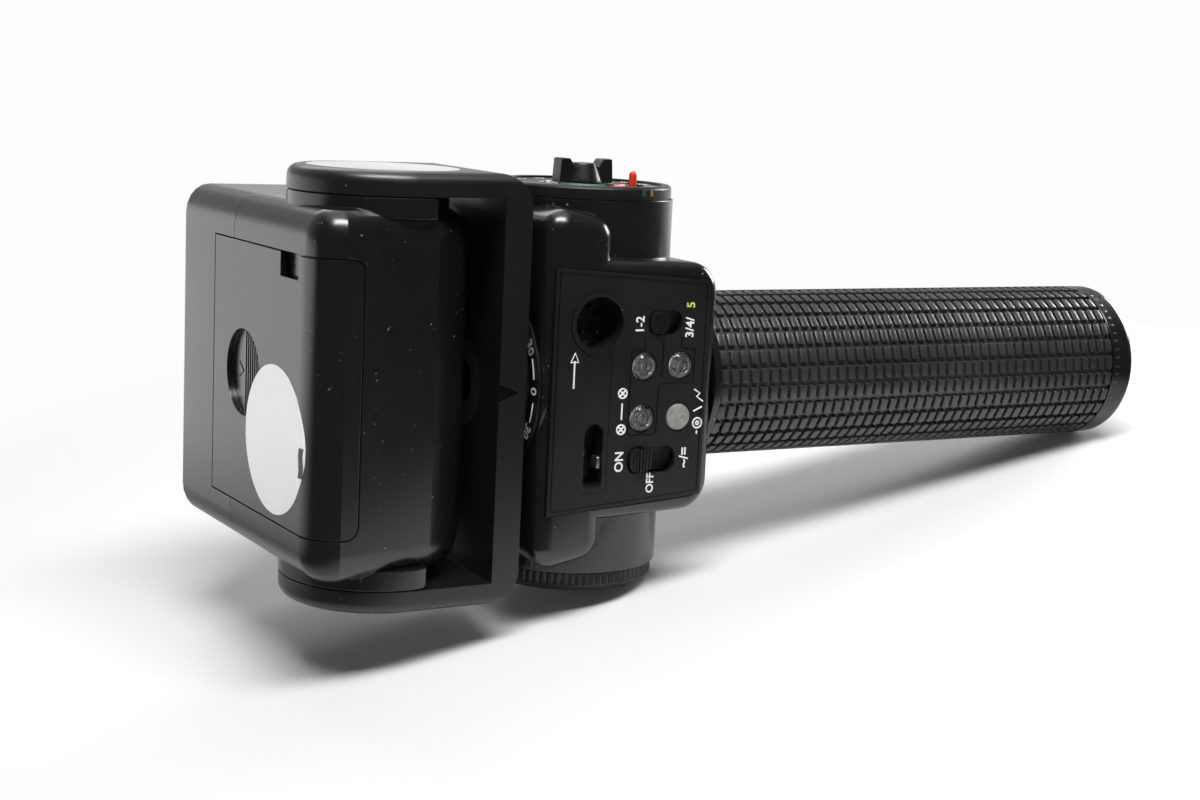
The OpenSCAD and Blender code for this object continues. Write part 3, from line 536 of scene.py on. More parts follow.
def paper(name, colour):
    """Glazed label paper: fibres, a little soiling and faint scuffs."""
    look = Finish(name)
    fibre = look.noise(2200, 4.0, 0.7)
    soil = look.noise(60, 4.0, 0.6).step(0.56, 0.8)
    spots = look.specks(300, 0.06)
    base = look.mix(soil * 0.10, tuple(colour), LABEL_SOIL)
    base = look.mix(spots * 0.35, base, LABEL_SPOT)
    return look.surface(Base_Color=base, Roughness=0.16 + 0.06 * fibre, Specular_IOR_Level=0.85,
                        Normal=look.bump(fibre, 0.06, 0.02))


FINISHES = {}


def make_finishes():
    tint = colours()
    FINISHES.update({
        "shell": moulded("shell_black", tint.shell, 0.16, specular=0.85),
        "yoke": moulded("yoke_black", [c * 1.1 for c in tint.shell], 0.28, grain=0.10, dust=0.09,
                        specular=0.7),
        "gloss": moulded("cover_black", tint.shell, 0.05, grain=0.03, dust=0.08, specular=0.8),
        "panel": moulded("panel_black", tint.panel, 0.38, grain=0.10, dust=0.08, wear=0.04),
        "knob": moulded("knob_black", [c * 1.5 for c in tint.shell], 0.26, grain=0.08, dust=0.07),
        "rubber": rubber("grip_black", tint.rubber),
        "inner": plain("inner_grey", (0.05, 0.05, 0.054), 0.55),
        "pin": plain("pin_red", tint.pin, 0.24, 700, 0.005),
        "clear": clear_plastic("clear_window", (0.93, 0.95, 0.96), 0.04),
        "dome": clear_plastic("clear_dome", (0.90, 0.92, 0.93), 0.07),
        "cup": plain("lamp_cup", (0.07, 0.07, 0.072), 0.22, 900, 0.01),
        "milky": plain("milky_button", (0.30, 0.295, 0.28), 0.12, 500, 0.01),
        "steel": metal("bright_steel", (0.58, 0.59, 0.60), 0.22),
        "brass": metal("dull_brass", (0.52, 0.38, 0.16), 0.3),
        "dull": metal("dull_contact", (0.13, 0.12, 0.10), 0.4),
        "mirror": metal("reflector_mirror", (0.86, 0.87, 0.88), 0.08),
        "can": plain("capacitor_sleeve", (0.02, 0.03, 0.055), 0.35, 90),
        "cell": plain("cell_sleeve", (0.06, 0.12, 0.2), 0.3, 120),
        "board": plain("board_green", (0.035, 0.09, 0.035), 0.4, 260),
        "winding": metal("winding_copper", (0.42, 0.17, 0.07), 0.35),
        "white": ink("print_white", tint.white),
        "lime": ink("print_lime", tint.lime),
        "green": ink("print_green", tint.green),
        "teal": ink("print_teal", tint.teal),
        "amber": ink("print_amber", tint.amber),
        "red": ink("print_red", tint.pin),
        "label": paper("label_paper", tint.label),
        "torn": plain("label_torn", (0.13, 0.13, 0.13), 0.7, 900, 0.03),
        # Near-black lines: painted shade for the panel's grooves and for the floor of the yoke's pointer
        # recess
        "line": moulded("inlaid_line", [c * 0.2 for c in tint.panel], 0.5, grain=0.1, dust=0.0, wear=0.0,
                        specular=0.15),
    })


NODE_FINISHES = {
    "inner": ("handle_tube", "swivel_bearing", "mode_switch", "power_switch", "test_switch", "dial_deck",
              "speed_disc", "dial_control", "tube_holders", "battery_tray"),
    "can": ("main_capacitor",),
    "steel": ("body_screws", "swivel_clip", "knob_spindle", "wheel_stud", "swivel_shaft", "tilt_pins",
              "tilt_washers", "cell_contacts"),
    "brass": ("bracket_socket", "wheel_bush"),
    "dull": ("socket_contacts",),
    "panel": ("swivel_scale", "sensor_socket", "dial_plate"),
    "clear": ("lamp_window", "flash_tube"),
    "mirror": ("reflector",),
    "cell": ("battery_cells",),
    "board": ("circuit_board",),
    "winding": ("transformer", "trigger_coil"),
    "pin": ("setting_pin",),
    "milky": ("test_button",),
    "cup": ("signal_lamps",),
}

# Node, new piece, body, slot, finish, the break of its edges in mm and the angle it is shaded smooth over
REFINED_NODES = (
    ("body_rear_shell", "body_rear_form", "body", "black_shell", "shell", 0.22, 32),
    ("body_front_shell", "body_front_form", "body", "black_shell", "shell", 0.22, 32),
    ("head_rear_shell", "head_rear_form", "head", "black_shell", "shell", 0.16, 20),
    ("head_front_bezel", "head_front_form", "head", "black_shell", "shell", 0.22, 30),
    ("yoke_frame", "yoke_form", "yoke", "black_shell", "yoke", 0.16, 30),
    ("pivot_covers", "pivot_cover_forms", "yoke", "black_shell", "gloss", 0.2, 30),
    ("battery_cover", "battery_cover_form", "cover", "black_shell", "shell", 0.14, 20),
    ("control_panel", "control_panel_form", "body", "black_panel", "panel", 0.12, 30),
    ("grip_collar", "grip_collar_form", "body", "black_shell", "shell", 0.25, 30),
    ("end_cap", "end_cap_form", "body", "black_shell", "shell", 0.2, 30),
    ("dial_bezel", "dial_bezel_form", "body", "black_shell", "knob", 0.15, 30),
    ("wing_knob", "wing_knob_form", "knob", "black_knob", "knob", 0.4, 30),
    ("knurled_wheel", "knurled_wheel_form", "wheel", "black_knob", "knob", 0.08, 30),
    ("mode_slider", "mode_slider_form", "mode_switch_cap", "black_knob", "knob", 0.1, 30),
    ("power_slider", "power_slider_form", "power_switch_cap", "black_knob", "knob", 0.1, 30),
)


class FLASH_OT_finishes(bpy.types.Operator):
    """Make the finishes and give the CAD nodes that stay theirs"""

    bl_idname = "flash.finishes"
    bl_label = "Finishes"

    def execute(self, context):
        make_finishes()
        for finish, nodes in NODE_FINISHES.items():
            for node in nodes:
                frame["nodes"][node].material_slots[0].material = FINISHES[finish]
        return {"FINISHED"}


class FLASH_OT_shells(bpy.types.Operator):
    """Refine the moulded shells, caps and knobs: broken edges and smooth shading"""

    bl_idname = "flash.shells"
    bl_label = "Shells and knobs"

    def execute(self, context):
        for node, name, body, slot, finish, edge, angle in REFINED_NODES:
            refined(node, name, body, FINISHES[finish], edge, angle)
        return {"FINISHED"}


class FLASH_OT_grip(bpy.types.Operator):
    """Model the rubber grip: rows of rounded blocks on a sleeve, and the smooth band at its end"""

    bl_idname = "flash.grip"
    bl_label = "Grip"

    def execute(self, context):
        s = sizes()
        low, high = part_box("rubber_grip")
        outer = (high.z - low.z) / 2
        pitch = (high.x - low.x) / s.grip_rings
        floor = outer - s.groove_depth * MM
        length = pitch - s.ring_groove * MM
        width = FULL_TURN * outer / s.grip_rows - s.row_groove * MM
        sink = 0.15 * MM
        step = FULL_TURN / s.grip_rows
        top = JOINT.z - floor + sink
        bottom = JOINT.z - outer
        piece = block((length, width, top - bottom),
                      Vector((low.x + pitch / 2, JOINT.y, (top + bottom) / 2)))
        open_mesh(piece)
        choose_faces(piece, lambda at, out: out.z > 0.5)
        bpy.ops.mesh.delete(type="FACE")
        choose_edges(piece, lambda a, b: abs(a.z - b.z) > 0.5 * s.groove_depth * MM)
        bpy.ops.mesh.bevel(offset=s.block_round * MM, segments=1, affect="EDGES")
        choose_edges(piece, lambda a, b: max(a.z, b.z) < bottom + 1e-6)
        bpy.ops.mesh.bevel(offset=s.block_round * MM, segments=2, affect="EDGES")
        close_mesh()
        modify(piece, "ARRAY", count=s.grip_rings, use_relative_offset=False, use_constant_offset=True,
               constant_offset_displace=(pitch, 0, 0))
        open_mesh(piece, True)
        bpy.ops.transform.rotate(value=-step / 2, orient_axis="X", center_override=JOINT)
        bpy.ops.mesh.spin(steps=s.grip_rows - 1, dupli=True, angle=step * (s.grip_rows - 1),
                          center=JOINT, axis=(1, 0, 0), use_auto_merge=False)
        close_mesh()
        clear_selection()
        bpy.ops.mesh.primitive_cylinder_add(vertices=4 * s.grip_rows, radius=floor, depth=high.x - low.x,
                                            location=((low.x + high.x) / 2, JOINT.y, JOINT.z),
                                            rotation=(0, math.pi / 2, 0))
        sleeve = bpy.context.object
        piece = join([piece, sleeve])
        settle(piece, "grip_blocks", "body", FINISHES["rubber"])
        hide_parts("rubber_grip")
        wall, chamfer, lap = 2, 0.2, 0.1
        skin, reach = outer / MM + 0.03, s.cap_band
        ring = [(skin - wall, 0), (skin - chamfer, 0), (skin, chamfer), (skin, reach + lap),
                (skin - wall, reach + lap), (skin - wall, 0)]
        band = lathe(ring, Vector((high.x - reach * MM, JOINT.y, JOINT.z)), Y_AXIS, Z_AXIS, 96)
        settle(band, "cap_band", "body", FINISHES["shell"])
        return {"FINISHED"}


# The head's outline behind the battery cover, in mm from the joint
TOP_AT_CORNER, TOP_SLOPE, CORNER_R, HEAD_REAR = -113.6, 0.054, 10.0, 24.3
CORNER = (TOP_AT_CORNER + CORNER_R, -HEAD_REAR + CORNER_R)


def top_at(y):
    """How far up the head's top face is at y."""
    return TOP_AT_CORNER - TOP_SLOPE * (y - CORNER[1])


def round_cover(y, along, proud):
    """A point on the cover: along mm from y, over the top towards the rear and round the corner."""
    flat = y - CORNER[1]
    if along <= flat:
        return top_at(y - along) - proud, y - along
    angle = math.pi + (along - flat) / CORNER_R
    reach = CORNER_R + proud
    return CORNER[0] + reach * math.cos(angle), CORNER[1] + reach * math.sin(angle)


# The cover's round thumb recess: y, z and radius, and how far along its floor is
THUMB_Y, THUMB_Z, THUMB_R = 22.6, 0.4, 11.3
THUMB_FLOOR = top_at(THUMB_Y) + 0.9
# The yoke's pointer recess, whose floor gets a near-black sheet of painted shade: its corners (along, across)
# and how deep it is
POINTER, POINTER_Y = ((-62.9, 2.4), (-62.9, -2.4), (-57.3, 0)), -20.72


class FLASH_OT_cover_marks(bpy.types.Operator):
    """Model the battery cover's thumb ribs and raised arrow, and a near-black sheet of painted shade on the
    floor of the yoke's pointer
    """

    bl_idname = "flash.cover_marks"
    bl_label = "Cover ribs and arrows"

    def execute(self, context):
        ribs = []
        rib_count, rib_pitch, rib_width, first_rib, rim_gap = 7, 1.45, 0.72, 1.5, 0.35
        for i in range(rib_count):
            away = -THUMB_R + first_rib + i * rib_pitch
            y = THUMB_Y + away
            half = math.sqrt((THUMB_R - rim_gap) ** 2 - away ** 2)
            top, floor = top_at(y) + 0.06, THUMB_FLOOR + 0.1
            ribs.append(block((abs(floor - top) * MM, rib_width * MM, 2 * half * MM),
                              spot((top + floor) / 2, y, THUMB_Z), 0.08 * MM, 2))
        settle(join(ribs), "thumb_ribs", "cover", FINISHES["shell"])
        apex, back, half, line = THUMB_Y + 2.2, THUMB_Y + 5.6, 2.0, 0.42
        corners = [(back, THUMB_Z + half), (apex, THUMB_Z), (back, THUMB_Z - half)]
        arrow = wire([spot(THUMB_FLOOR - 0.02, y, z) for y, z in corners], line * MM)
        settle(arrow, "cover_arrow", "cover", FINISHES["shell"])
        # A near-black sheet on the pointer recess's floor: painted shade
        mesh = bpy.data.meshes.new("pointer")
        mesh.from_pydata([spot(x, POINTER_Y, z) for x, z in POINTER], [], [(0, 1, 2)])
        pointer = bpy.data.objects.new("pointer", mesh)
        context.scene.collection.objects.link(pointer)
        modify(pointer, "SOLIDIFY", thickness=0.06 * MM, offset=0)
        settle(pointer, "yoke_pointer", "yoke", FINISHES["line"])
        return {"FINISHED"}


class FLASH_OT_label(bpy.types.Operator):
    """Model the blank round paper label that lies over the cover's corner"""

    bl_idname = "flash.label"
    bl_label = "Round label"

    def execute(self, context):
        s = sizes()
        start, centre_z, rings, lift = 20.0, -13.4, 14, 0.03
        clear_selection()
        bpy.ops.mesh.primitive_circle_add(vertices=72, radius=s.label_radius * MM, fill_type="NOTHING")
        label = bpy.context.object
        open_mesh(label, True)
        for ring in range(rings, 1, -1):
            bpy.ops.mesh.extrude_region_move()
            bpy.ops.transform.resize(value=((ring - 1) / ring,) * 3, center_override=(0, 0, 0))
        bpy.ops.mesh.edge_face_add()
        bpy.ops.mesh.select_all(action="SELECT")
        bpy.ops.mesh.normals_make_consistent(inside=False)
        close_mesh()
        for vertex in label.data.vertices:
            along = s.label_radius + vertex.co.x / MM
            x, y = round_cover(start, along, lift)
            vertex.co = spot(x, y, centre_z + vertex.co.y / MM)
        open_mesh(label, True)
        if sum(face.normal.x for face in bmesh.from_edit_mesh(label.data).faces) > 0:
            bpy.ops.mesh.flip_normals()
        close_mesh()
        modify(label, "SOLIDIFY", thickness=s.label_height * MM, offset=1.0)
        settle(label, "round_label", "cover", FINISHES["label"], 60)
        tear_z, inset, ragged, waves = -16.2, 1.9, 0.25, 2300
        tear = block((0.06 * MM, 2.2 * MM, 7.6 * MM), Vector((0, 0, 0)), 0.02 * MM, 1)
        modify(tear, "SUBSURF", levels=2, render_levels=2, subdivision_type="SIMPLE")
        for vertex in tear.data.vertices:
            along = 2 * s.label_radius - inset + vertex.co.y / MM + ragged * math.sin(vertex.co.z * waves)
            x, y = round_cover(start, along, lift + s.label_height + vertex.co.x / MM)
            vertex.co = spot(x, y, tear_z + vertex.co.z / MM)
        settle(tear, "label_tear", "cover", FINISHES["torn"])
        return {"FINISHED"}


# Places on the panel, (along, across) in mm from the joint: the outline of the groove that leads from the
# mode slider to its lamps, its divider, the panel's corners, the lamps, the socket, and the slot's round end;
# the grooves are drawn as near-black lines of painted shade
INLAY = ((-22.6, 14.2), (-22.4, 12.0), (-22.7, 11.2), (-23.5, 10.8), (-26.1, 10.7), (-26.5, 10.3),
         (-26.5, -11.4), (-26.1, -11.8), (-19.1, -11.9), (-18.3, -11.6), (-18.0, -10.8), (-17.9, 0.4),
         (-17.7, 1.2), (-17.1, 1.6), (-7.6, 1.7), (-7.3, 2.0), (-7.1, 10.2), (-7.5, 10.7), (-10.5, 10.8),
         (-11.2, 11.1), (-11.4, 11.8), (-11.5, 14.2))
DIVIDER = ((-16.9, 13.4), (-17.0, 3.0))
PANEL_CORNERS = ((-49.4, 32.3), (-3.2, 28.9))
LAMPS = ((-22.4, 6.3), (-11.4, 6.3), (-22.4, -7.5))
SOCKET = (-36.4, 17.9)
SLOT, SLOT_R = (-36.4, -11.3), 2.8


class FLASH_OT_panel_marks(bpy.types.Operator):
    """Model the panel's grooves as near-black lines of painted shade and print its plain marks"""

    bl_idname = "flash.panel_marks"
    bl_label = "Panel marks"

    def execute(self, context):
        s = sizes()
        width = s.line_width * MM
        # The grooves are drawn as near-black wires: their darkness is painted groove shade
        lines = [wire([on_panel(x, z) for x, z in line], width) for line in (INLAY, DIVIDER)]
        inset = 1.1
        (up, up_half), (low, low_half) = PANEL_CORNERS
        border = [(up + inset, up_half - inset), (low - inset, low_half - inset),
                  (low - inset, inset - low_half), (up + inset, inset - up_half)]
        lines.append(wire([on_panel(x, z) for x, z in border], width, True))
        settle(join(lines), "panel_lines", "body", FINISHES["line"])

        right, up_way, proud, stroke_width = Z_AXIS, -X_AXIS, s.print_height / 2, 0.50

        def word(text, x, z, size=s.letter):
            return lettering(text, size, on_panel(x, z, proud), right, up_way)

        def stroke(*points, closed=False):
            return wire([on_panel(x, z, 0.01) for x, z in points], stroke_width * MM, closed)

        def ring(x, z, radius, count=20):
            turns = [FULL_TURN * i / count for i in range(count)]
            return stroke(*[(x + radius * math.cos(a), z + radius * math.sin(a)) for a in turns], closed=True)

        def lamp_sign(x, z, arm=0.9):
            return [ring(x, z, 1.25), stroke((x - arm, z - arm), (x + arm, z + arm)),
                    stroke((x - arm, z + arm), (x + arm, z - arm))]

        marks = [
            word("1-2", -24.3, 17.4), word("3/4/", -9.1, 16.4), word("ON", -28.6, -18.8),
            word("OFF", -18.9, -25.0, 3.1), word("~/=", -8.8, -18.6, 3.9),
            stroke((-43.2, 1.2), (-43.2, 8.4)),
            stroke((-44.3, 8.0), (-43.2, 10.4), (-42.1, 8.0), closed=True),
            *lamp_sign(-28.6, -0.6), stroke((-28.6, -3.2), (-28.6, -7.6)), *lamp_sign(-28.6, -10.2),
            stroke((-6.8, -0.2), (-4.9, -1.4), (-5.9, -2.2), (-3.9, -3.6)),
            stroke((-6.7, -6.2), (-4.1, -5.0)),
            ring(-5.3, -9.4, 1.35), ring(-5.3, -9.4, 0.45, 10), stroke((-5.3, -11.4), (-5.3, -12.4)),
        ]
        settle(join(marks), "panel_print", "body", FINISHES["white"])
        settle(word("5", -9.1, 22.4), "panel_print_lime", "body", FINISHES["lime"])
        return {"FINISHED"}


class FLASH_OT_lamps(bpy.types.Operator):
    """Model the three signal lamps: clear domes over ringed cups"""

    bl_idname = "flash.lamps"
    bl_label = "Signal lamps"

    def execute(self, context):
        cup = [(0, -1.6), (1.15, -1.6), (1.2, -0.9), (1.45, -0.9), (1.5, -1.6), (2.25, -1.6), (2.3, -0.5),
               (2.6, -0.5), (2.65, -1.6), (3.0, -1.6), (3.05, -0.3), (3.5, -0.3), (3.5, -2.6), (0, -2.6)]
        dome = [(0, 0.55), (0.9, 0.52), (1.05, 0.72), (1.3, 0.72), (1.45, 0.50), (2.1, 0.46), (2.3, 0.70),
                (2.6, 0.66), (2.8, 0.36), (3.2, 0.20), (3.45, -0.1), (3.45, -0.25), (0, -0.25)]
        places = [on_panel(x, z) for x, z in LAMPS]
        cups = join([lathe(cup, place, X_AXIS, Z_AXIS, 40) for place in places])
        settle(cups, "lamp_cups", "body", FINISHES["cup"], 50)
        domes = join([lathe(dome, place, X_AXIS, Z_AXIS, 40) for place in places])
        settle(domes, "lamp_domes", "body", FINISHES["dome"], 50)
        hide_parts("lamp_windows")
        return {"FINISHED"}


class FLASH_OT_socket(bpy.types.Operator):
    """Model the sensor socket's pins and key, and the spring and round end of its slot"""

    bl_idname = "flash.socket"
    bl_label = "Sensor socket"

    def execute(self, context):
        pin = [(0, 3.2), (0.3, 3.1), (0.5, 2.8), (0.5, 0), (0, 0)]
        depth, circle, pin_count, first_turn = 7.9, 3.6, 5, 18
        key_place, spring_place = (SOCKET[0] - 2.0, SOCKET[1] - 5.9, -5.9), (-34.35, -18.9, -2.4)
        end_thick, end_sunk, end_gap = 1.5, 0.9, 0.02
        pins = []
        for i in range(pin_count):
            angle = math.radians(360 / pin_count * i + first_turn)
            foot = on_panel(SOCKET[0] + circle * math.cos(angle), SOCKET[1] + circle * math.sin(angle), -depth)
            pins.append(lathe(pin, foot, X_AXIS, Z_AXIS, 12))
        settle(join(pins), "socket_pins", "body", FINISHES["dull"])
        key = block((2.2 * MM, 4.0 * MM, 1.6 * MM), on_panel(*key_place), 0.25 * MM)
        settle(key, "socket_key", "body", FINISHES["panel"])
        spring = block((1.3 * MM, 3.4 * MM, 3.2 * MM), on_panel(*spring_place), 0.5 * MM, 4)
        settle(spring, "slot_spring", "body", FINISHES["steel"])
        end = block((2 * SLOT_R * MM, end_thick * MM, SLOT_R * MM),
                    on_panel(SLOT[0], SLOT[1] + SLOT_R / 2, -end_sunk))
        clear_selection()
        bpy.ops.mesh.primitive_cylinder_add(vertices=64, radius=(SLOT_R - end_gap) * MM, depth=6 * MM,
                                            location=on_panel(*SLOT), rotation=(math.pi / 2, 0, 0))
        cutter = bpy.context.object
        modify(end, "BOOLEAN", object=cutter, operation="DIFFERENCE", solver="EXACT")
        bpy.data.objects.remove(cutter)
        settle(end, "slot_end", "body", FINISHES["panel"])
        return {"FINISHED"}


def round_dial(angle, radius, lift=0.0):
    """A point on the dial plate at an angle in degrees and a radius in mm."""
    turn = math.radians(angle)
    place = DIAL + Vector((math.cos(turn), math.sin(turn), 0)) * radius * MM
    place.z = PLATE_TOP + lift * MM
    return place


def dial_word(text, size, angle, radius):
    turn = math.radians(angle)
    up = Vector((-math.cos(turn), -math.sin(turn), 0))
    right = up.cross(Z_AXIS)
    return lettering(text, size, round_dial(angle, radius, sizes().print_height / 2), right, up)


def dial_tick(angle, inner, outer, width):
    return wire([round_dial(angle, inner), round_dial(angle, outer)], width * MM)


class FLASH_OT_dial_marks(bpy.types.Operator):
    """Print the setting dial: plain numbers, ticks and coloured sectors"""

    bl_idname = "flash.dial_marks"
    bl_label = "Dial marks"

    def execute(self, context):
        outer = ("1.4", "2", "2.8", "4", "5.6", "8", "11", "16", "22", "32")
        inner = ("1", "2", "3", "5", "7", "10", "15", "20")
        tick_count, sector_width, rim_drop = 25, 0.9, 0.85
        marks = []
        for i, text in enumerate(outer):
            angle = 205 - 26 * i
            marks.append(dial_word(text, 2.6, angle, 19.0))
            marks.append(dial_tick(angle, 16.9, 17.6, 0.3))
        for i, text in enumerate(inner):
            marks.append(dial_word(text, 2.1, 190 - 24 * i, 11.3))
        for i in range(tick_count):
            marks.append(dial_tick(196 - 8 * i, 9.0, 9.7 + 0.4 * (i % 3 == 0), 0.22))
        settle(join(marks), "dial_print", "body", FINISHES["white"])
        sector = [round_dial(-150 + 6 * i, 10.6) for i in range(12)]
        settle(wire(sector, sector_width * MM), "dial_sector_green", "body", FINISHES["green"])
        sector = [round_dial(-72 + 5 * i, 11.4) for i in range(8)]
        settle(wire(sector, sector_width * MM), "dial_sector_red", "body", FINISHES["red"])
        rim = (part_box("dial_bezel")[1].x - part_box("dial_bezel")[0].x) / 2
        for name, finish, angle in (("rim_tick_teal", "teal", -76), ("rim_tick_amber", "amber", -68.7)):
            tick = block((0.12 * MM, 1.3 * MM, 1.9 * MM), Vector((0, 0, 0)), 0.03 * MM, 1)
            out = Vector((math.cos(math.radians(angle)), math.sin(math.radians(angle)), 0))
            place = DIAL + out * rim
            place.z = PLATE_TOP - rim_drop * MM
            turn_to(tick, place, out, Z_AXIS.cross(out))
            settle(tick, name, "body", FINISHES[finish])
        return {"FINISHED"}


class FLASH_OT_scale_marks(bpy.types.Operator):
    """Print the swivel scale's angles and arcs"""

    bl_idname = "flash.scale_marks"
    bl_label = "Swivel scale"

    def execute(self, context):
        radius, step, gap, size, line, pieces = 22.1, 30, 8.0, 4.2, 0.5, 6

        def at(angle, reach=radius, proud=0.0):
            turn = math.radians(angle)
            place = SWIVEL + Vector((0, -math.cos(turn), math.sin(turn))) * reach * MM
            place.x = SCALE_FACE - proud * MM
            return place

        marks = []
        for i in range(-5, 7):
            angle = i * step
            turn = math.radians(angle)
            up = Vector((0, math.cos(turn), -math.sin(turn)))
            place = at(angle, radius, sizes().print_height / 2)
            marks.append(lettering(str(abs(angle)), size, place, up.cross(X_AXIS), up))
            arc = [at(angle + gap + (step - 2 * gap) * k / pieces) for k in range(pieces + 1)]
            marks.append(wire(arc, line * MM))
        settle(join(marks), "scale_print", "body", FINISHES["white"])
        return {"FINISHED"}


# The studio, in metres and degrees
FLOOR_SIZE, FLOOR_LEFT, FLOOR_PAST_CAP, FLOOR_GAP = 12, -0.55, 0.03, 0.2 * MM
REST_INSET = 3 * MM
AIM = (0.0, 0.0, 0.03)
SOFT_BOXES = (
    ("key_box", (-0.20, -0.46, 0.95), (0.80, 0.30), "key_power"),
    ("side_box", (0.95, 0.20, 0.40), (0.40, 0.40), "side_power"),
    ("back_box", (0.0, 0.65, 0.75), (0.60, 0.60), "back_power"),
)
SKY_SIDE = (-0.98, 0.20, 0.0)
CAMERA_PLACE, CAMERA_TURN = (-0.28631, -0.46728, 0.13494), (80.3561, -2.8007, -28.6407)
SENSOR_WIDTH = 36


def floor_finish(stage):
    """White ground that keeps the part's shadow near it and glows white farther off."""
    look = Finish("floor_white")
    away = look.node("ShaderNodeVectorMath", {"operation": "LENGTH"}, {0: look.object}, "Value")
    across = look.node("ShaderNodeSeparateXYZ", None, {0: look.object}, "Y")
    beyond = across.step(0.0, 0.5)
    before = 1 - across.step(-0.15, -0.09)
    seen, mirrored = look.rays()
    white = stage.white * seen + mirrored * (stage.dark_side + (stage.backdrop - stage.dark_side) * beyond)
    share = seen * away.step(0.20, 0.38) + mirrored * away.step(0.12, 0.20).most(before)
    look.surface(Base_Color=(0.92, 0.92, 0.92), Roughness=0.9, Specular_IOR_Level=0.0)
    glow = look.node("ShaderNodeEmission", None, {"Color": look.grey(white)})
    lit = Flow(look.tree, look.shader.outputs[0])
    mixed = look.node("ShaderNodeMixShader", None, {0: share, 1: lit, 2: glow})
    look.tree.links.new(mixed.socket, look.tree.nodes["Material Output"].inputs["Surface"])
    return look.material


def white_world(stage):
    """Surroundings: white to the eye, pale beyond the part in mirrors, and a low light at the left."""
    world = bpy.data.worlds.new("studio_white")
    world.use_nodes = True
    look = Finish("studio_white", world)
    direction = look.node("ShaderNodeTexCoord", output="Generated")
    beyond = look.node("ShaderNodeSeparateXYZ", None, {0: direction}, "Y").step(0.10, 0.75)
    height = look.node("ShaderNodeSeparateXYZ", None, {0: direction}, "Z")
    raised, overhead = height.step(0.03, 0.14), height.step(0.80, 0.95)
    bright = look.node("ShaderNodeVectorMath", {"operation": "DOT_PRODUCT"},
                       {0: direction, 1: SKY_SIDE}, "Value").step(0.2, 0.8)
    low = 1 - height.step(0.06, 0.30)
    seen, mirrored = look.rays()
    mirror = stage.dark_side + (stage.backdrop - 0.9 * raised) * beyond + overhead
    level = seen * stage.white + mirrored * mirror
    level = level + (1 - seen - mirrored) * stage.sky * (0.002 + bright * low)
    look.feed(world.node_tree.nodes["Background"].inputs["Color"], look.grey(level))
    return world


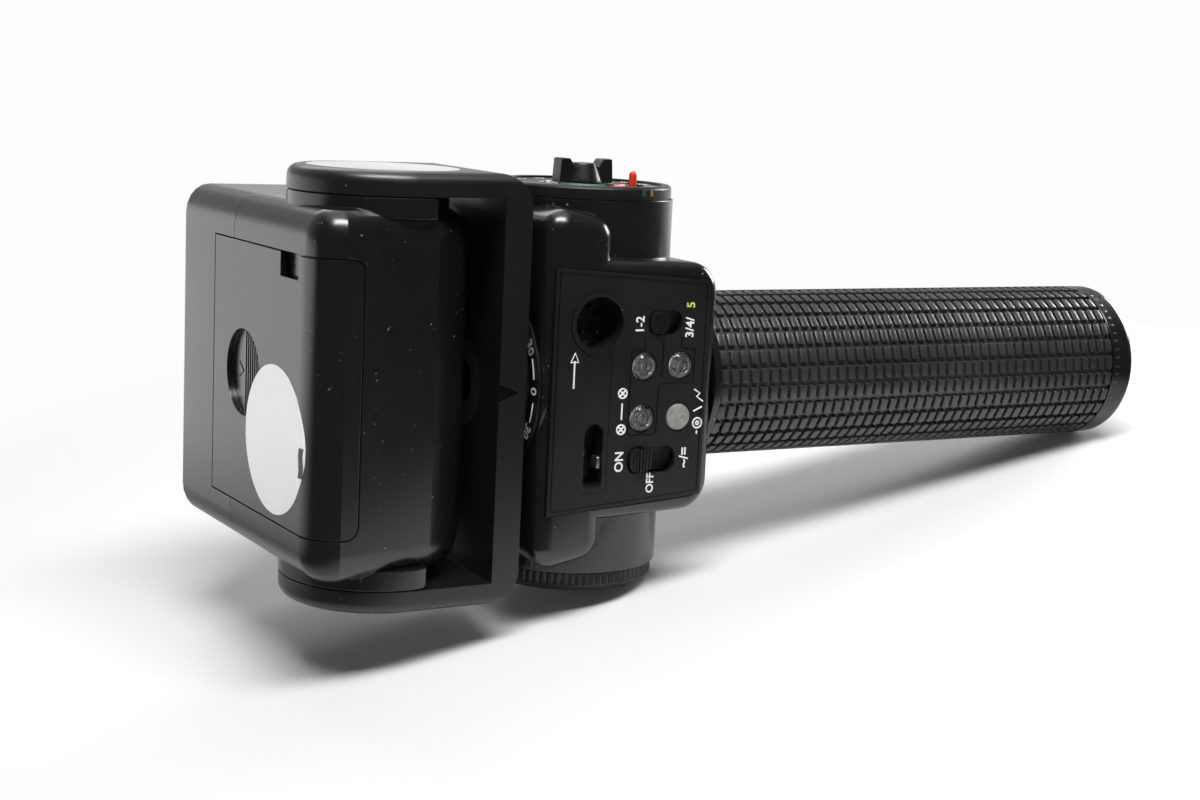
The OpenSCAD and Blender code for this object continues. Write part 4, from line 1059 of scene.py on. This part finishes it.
class FLASH_OT_studio(bpy.types.Operator):
    """Set the pale floor, the soft light and the camera"""

    bl_idname = "flash.studio"
    bl_label = "Studio"

    def execute(self, context):
        stage = context.scene.flash_stage
        clear_selection()
        bpy.ops.mesh.primitive_plane_add(size=FLOOR_SIZE, location=(0, 0, 0))
        floor = context.object
        floor.name = "studio_floor"
        # The part rests on wheel and end cap, so the floor slopes between them and is level farther off
        rest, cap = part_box("knurled_wheel"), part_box("end_cap")
        rest_x, cap_x = rest[1].x - REST_INSET, cap[1].x - REST_INSET
        slope = (cap[0].z - rest[0].z) / (cap_x - rest_x)
        ends = (FLOOR_LEFT, cap_x + FLOOR_PAST_CAP)
        open_mesh(floor)
        for reach in ends:
            bpy.ops.mesh.select_all(action="SELECT")
            bpy.ops.mesh.bisect(plane_co=(reach, 0, 0), plane_no=(1, 0, 0))
        close_mesh()
        for vertex in floor.data.vertices:
            near = min(max(vertex.co.x, ends[0]), ends[1])
            vertex.co.z = rest[0].z + slope * (near - rest_x) - FLOOR_GAP
        modify(floor, "BEVEL", width=0.02, segments=6, angle_limit=math.radians(5))
        floor.data.materials.append(floor_finish(stage))
        context.scene.world = white_world(stage)

        for name, place, size, power in SOFT_BOXES:
            bpy.ops.object.light_add(type="AREA", location=place)
            lamp = context.object
            lamp.name = name
            lamp.data.shape = "RECTANGLE"
            lamp.data.size, lamp.data.size_y = size
            lamp.data.energy = getattr(stage, power)
            lamp.rotation_euler = (Vector(AIM) - Vector(place)).to_track_quat("-Z", "Y").to_euler()

        camera = bpy.data.objects.new("photo_camera", bpy.data.cameras.new("photo_camera"))
        context.scene.collection.objects.link(camera)
        camera.data.sensor_width = SENSOR_WIDTH
        camera.data.lens = stage.focal
        camera.data.clip_start = 0.01
        camera.location = CAMERA_PLACE
        camera.rotation_euler = [math.radians(angle) for angle in CAMERA_TURN]
        context.scene.camera = camera
        context.scene.view_settings.view_transform = "Standard"
        return {"FINISHED"}


STEPS = (FLASH_OT_studio, FLASH_OT_finishes, FLASH_OT_shells, FLASH_OT_grip, FLASH_OT_cover_marks,
         FLASH_OT_label, FLASH_OT_panel_marks, FLASH_OT_lamps, FLASH_OT_socket, FLASH_OT_dial_marks,
         FLASH_OT_scale_marks)


class FLASH_PT_pieces(bpy.types.Panel):
    """Lists the flash's pieces and settings"""

    bl_label = "Handle Mount Flash"
    bl_space_type = "VIEW_3D"
    bl_region_type = "UI"
    bl_category = "Flash"

    def draw(self, context):
        for step in STEPS:
            self.layout.operator(step.bl_idname)
        for group in (context.scene.flash_sizes, context.scene.flash_colours, context.scene.flash_stage):
            box = self.layout.box()
            for key in group.__annotations__:
                box.prop(group, key)


CLASSES = (FlashSizes, FlashColours, FlashStage, *STEPS, FLASH_PT_pieces)


def register():
    for item in CLASSES:
        bpy.utils.register_class(item)
    bpy.types.Scene.flash_sizes = PointerProperty(type=FlashSizes)
    bpy.types.Scene.flash_colours = PointerProperty(type=FlashColours)
    bpy.types.Scene.flash_stage = PointerProperty(type=FlashStage)


def unregister():
    del bpy.types.Scene.flash_stage
    del bpy.types.Scene.flash_colours
    del bpy.types.Scene.flash_sizes
    for item in reversed(CLASSES):
        bpy.utils.unregister_class(item)


def main():
    register()
    bpy.ops.flash.studio()
    bpy.ops.flash.finishes()
    bpy.ops.flash.shells()
    bpy.ops.flash.grip()
    bpy.ops.flash.cover_marks()
    bpy.ops.flash.label()
    bpy.ops.flash.panel_marks()
    bpy.ops.flash.lamps()
    bpy.ops.flash.socket()
    bpy.ops.flash.dial_marks()
    bpy.ops.flash.scale_marks()


if __name__ == "__main__":
    main()
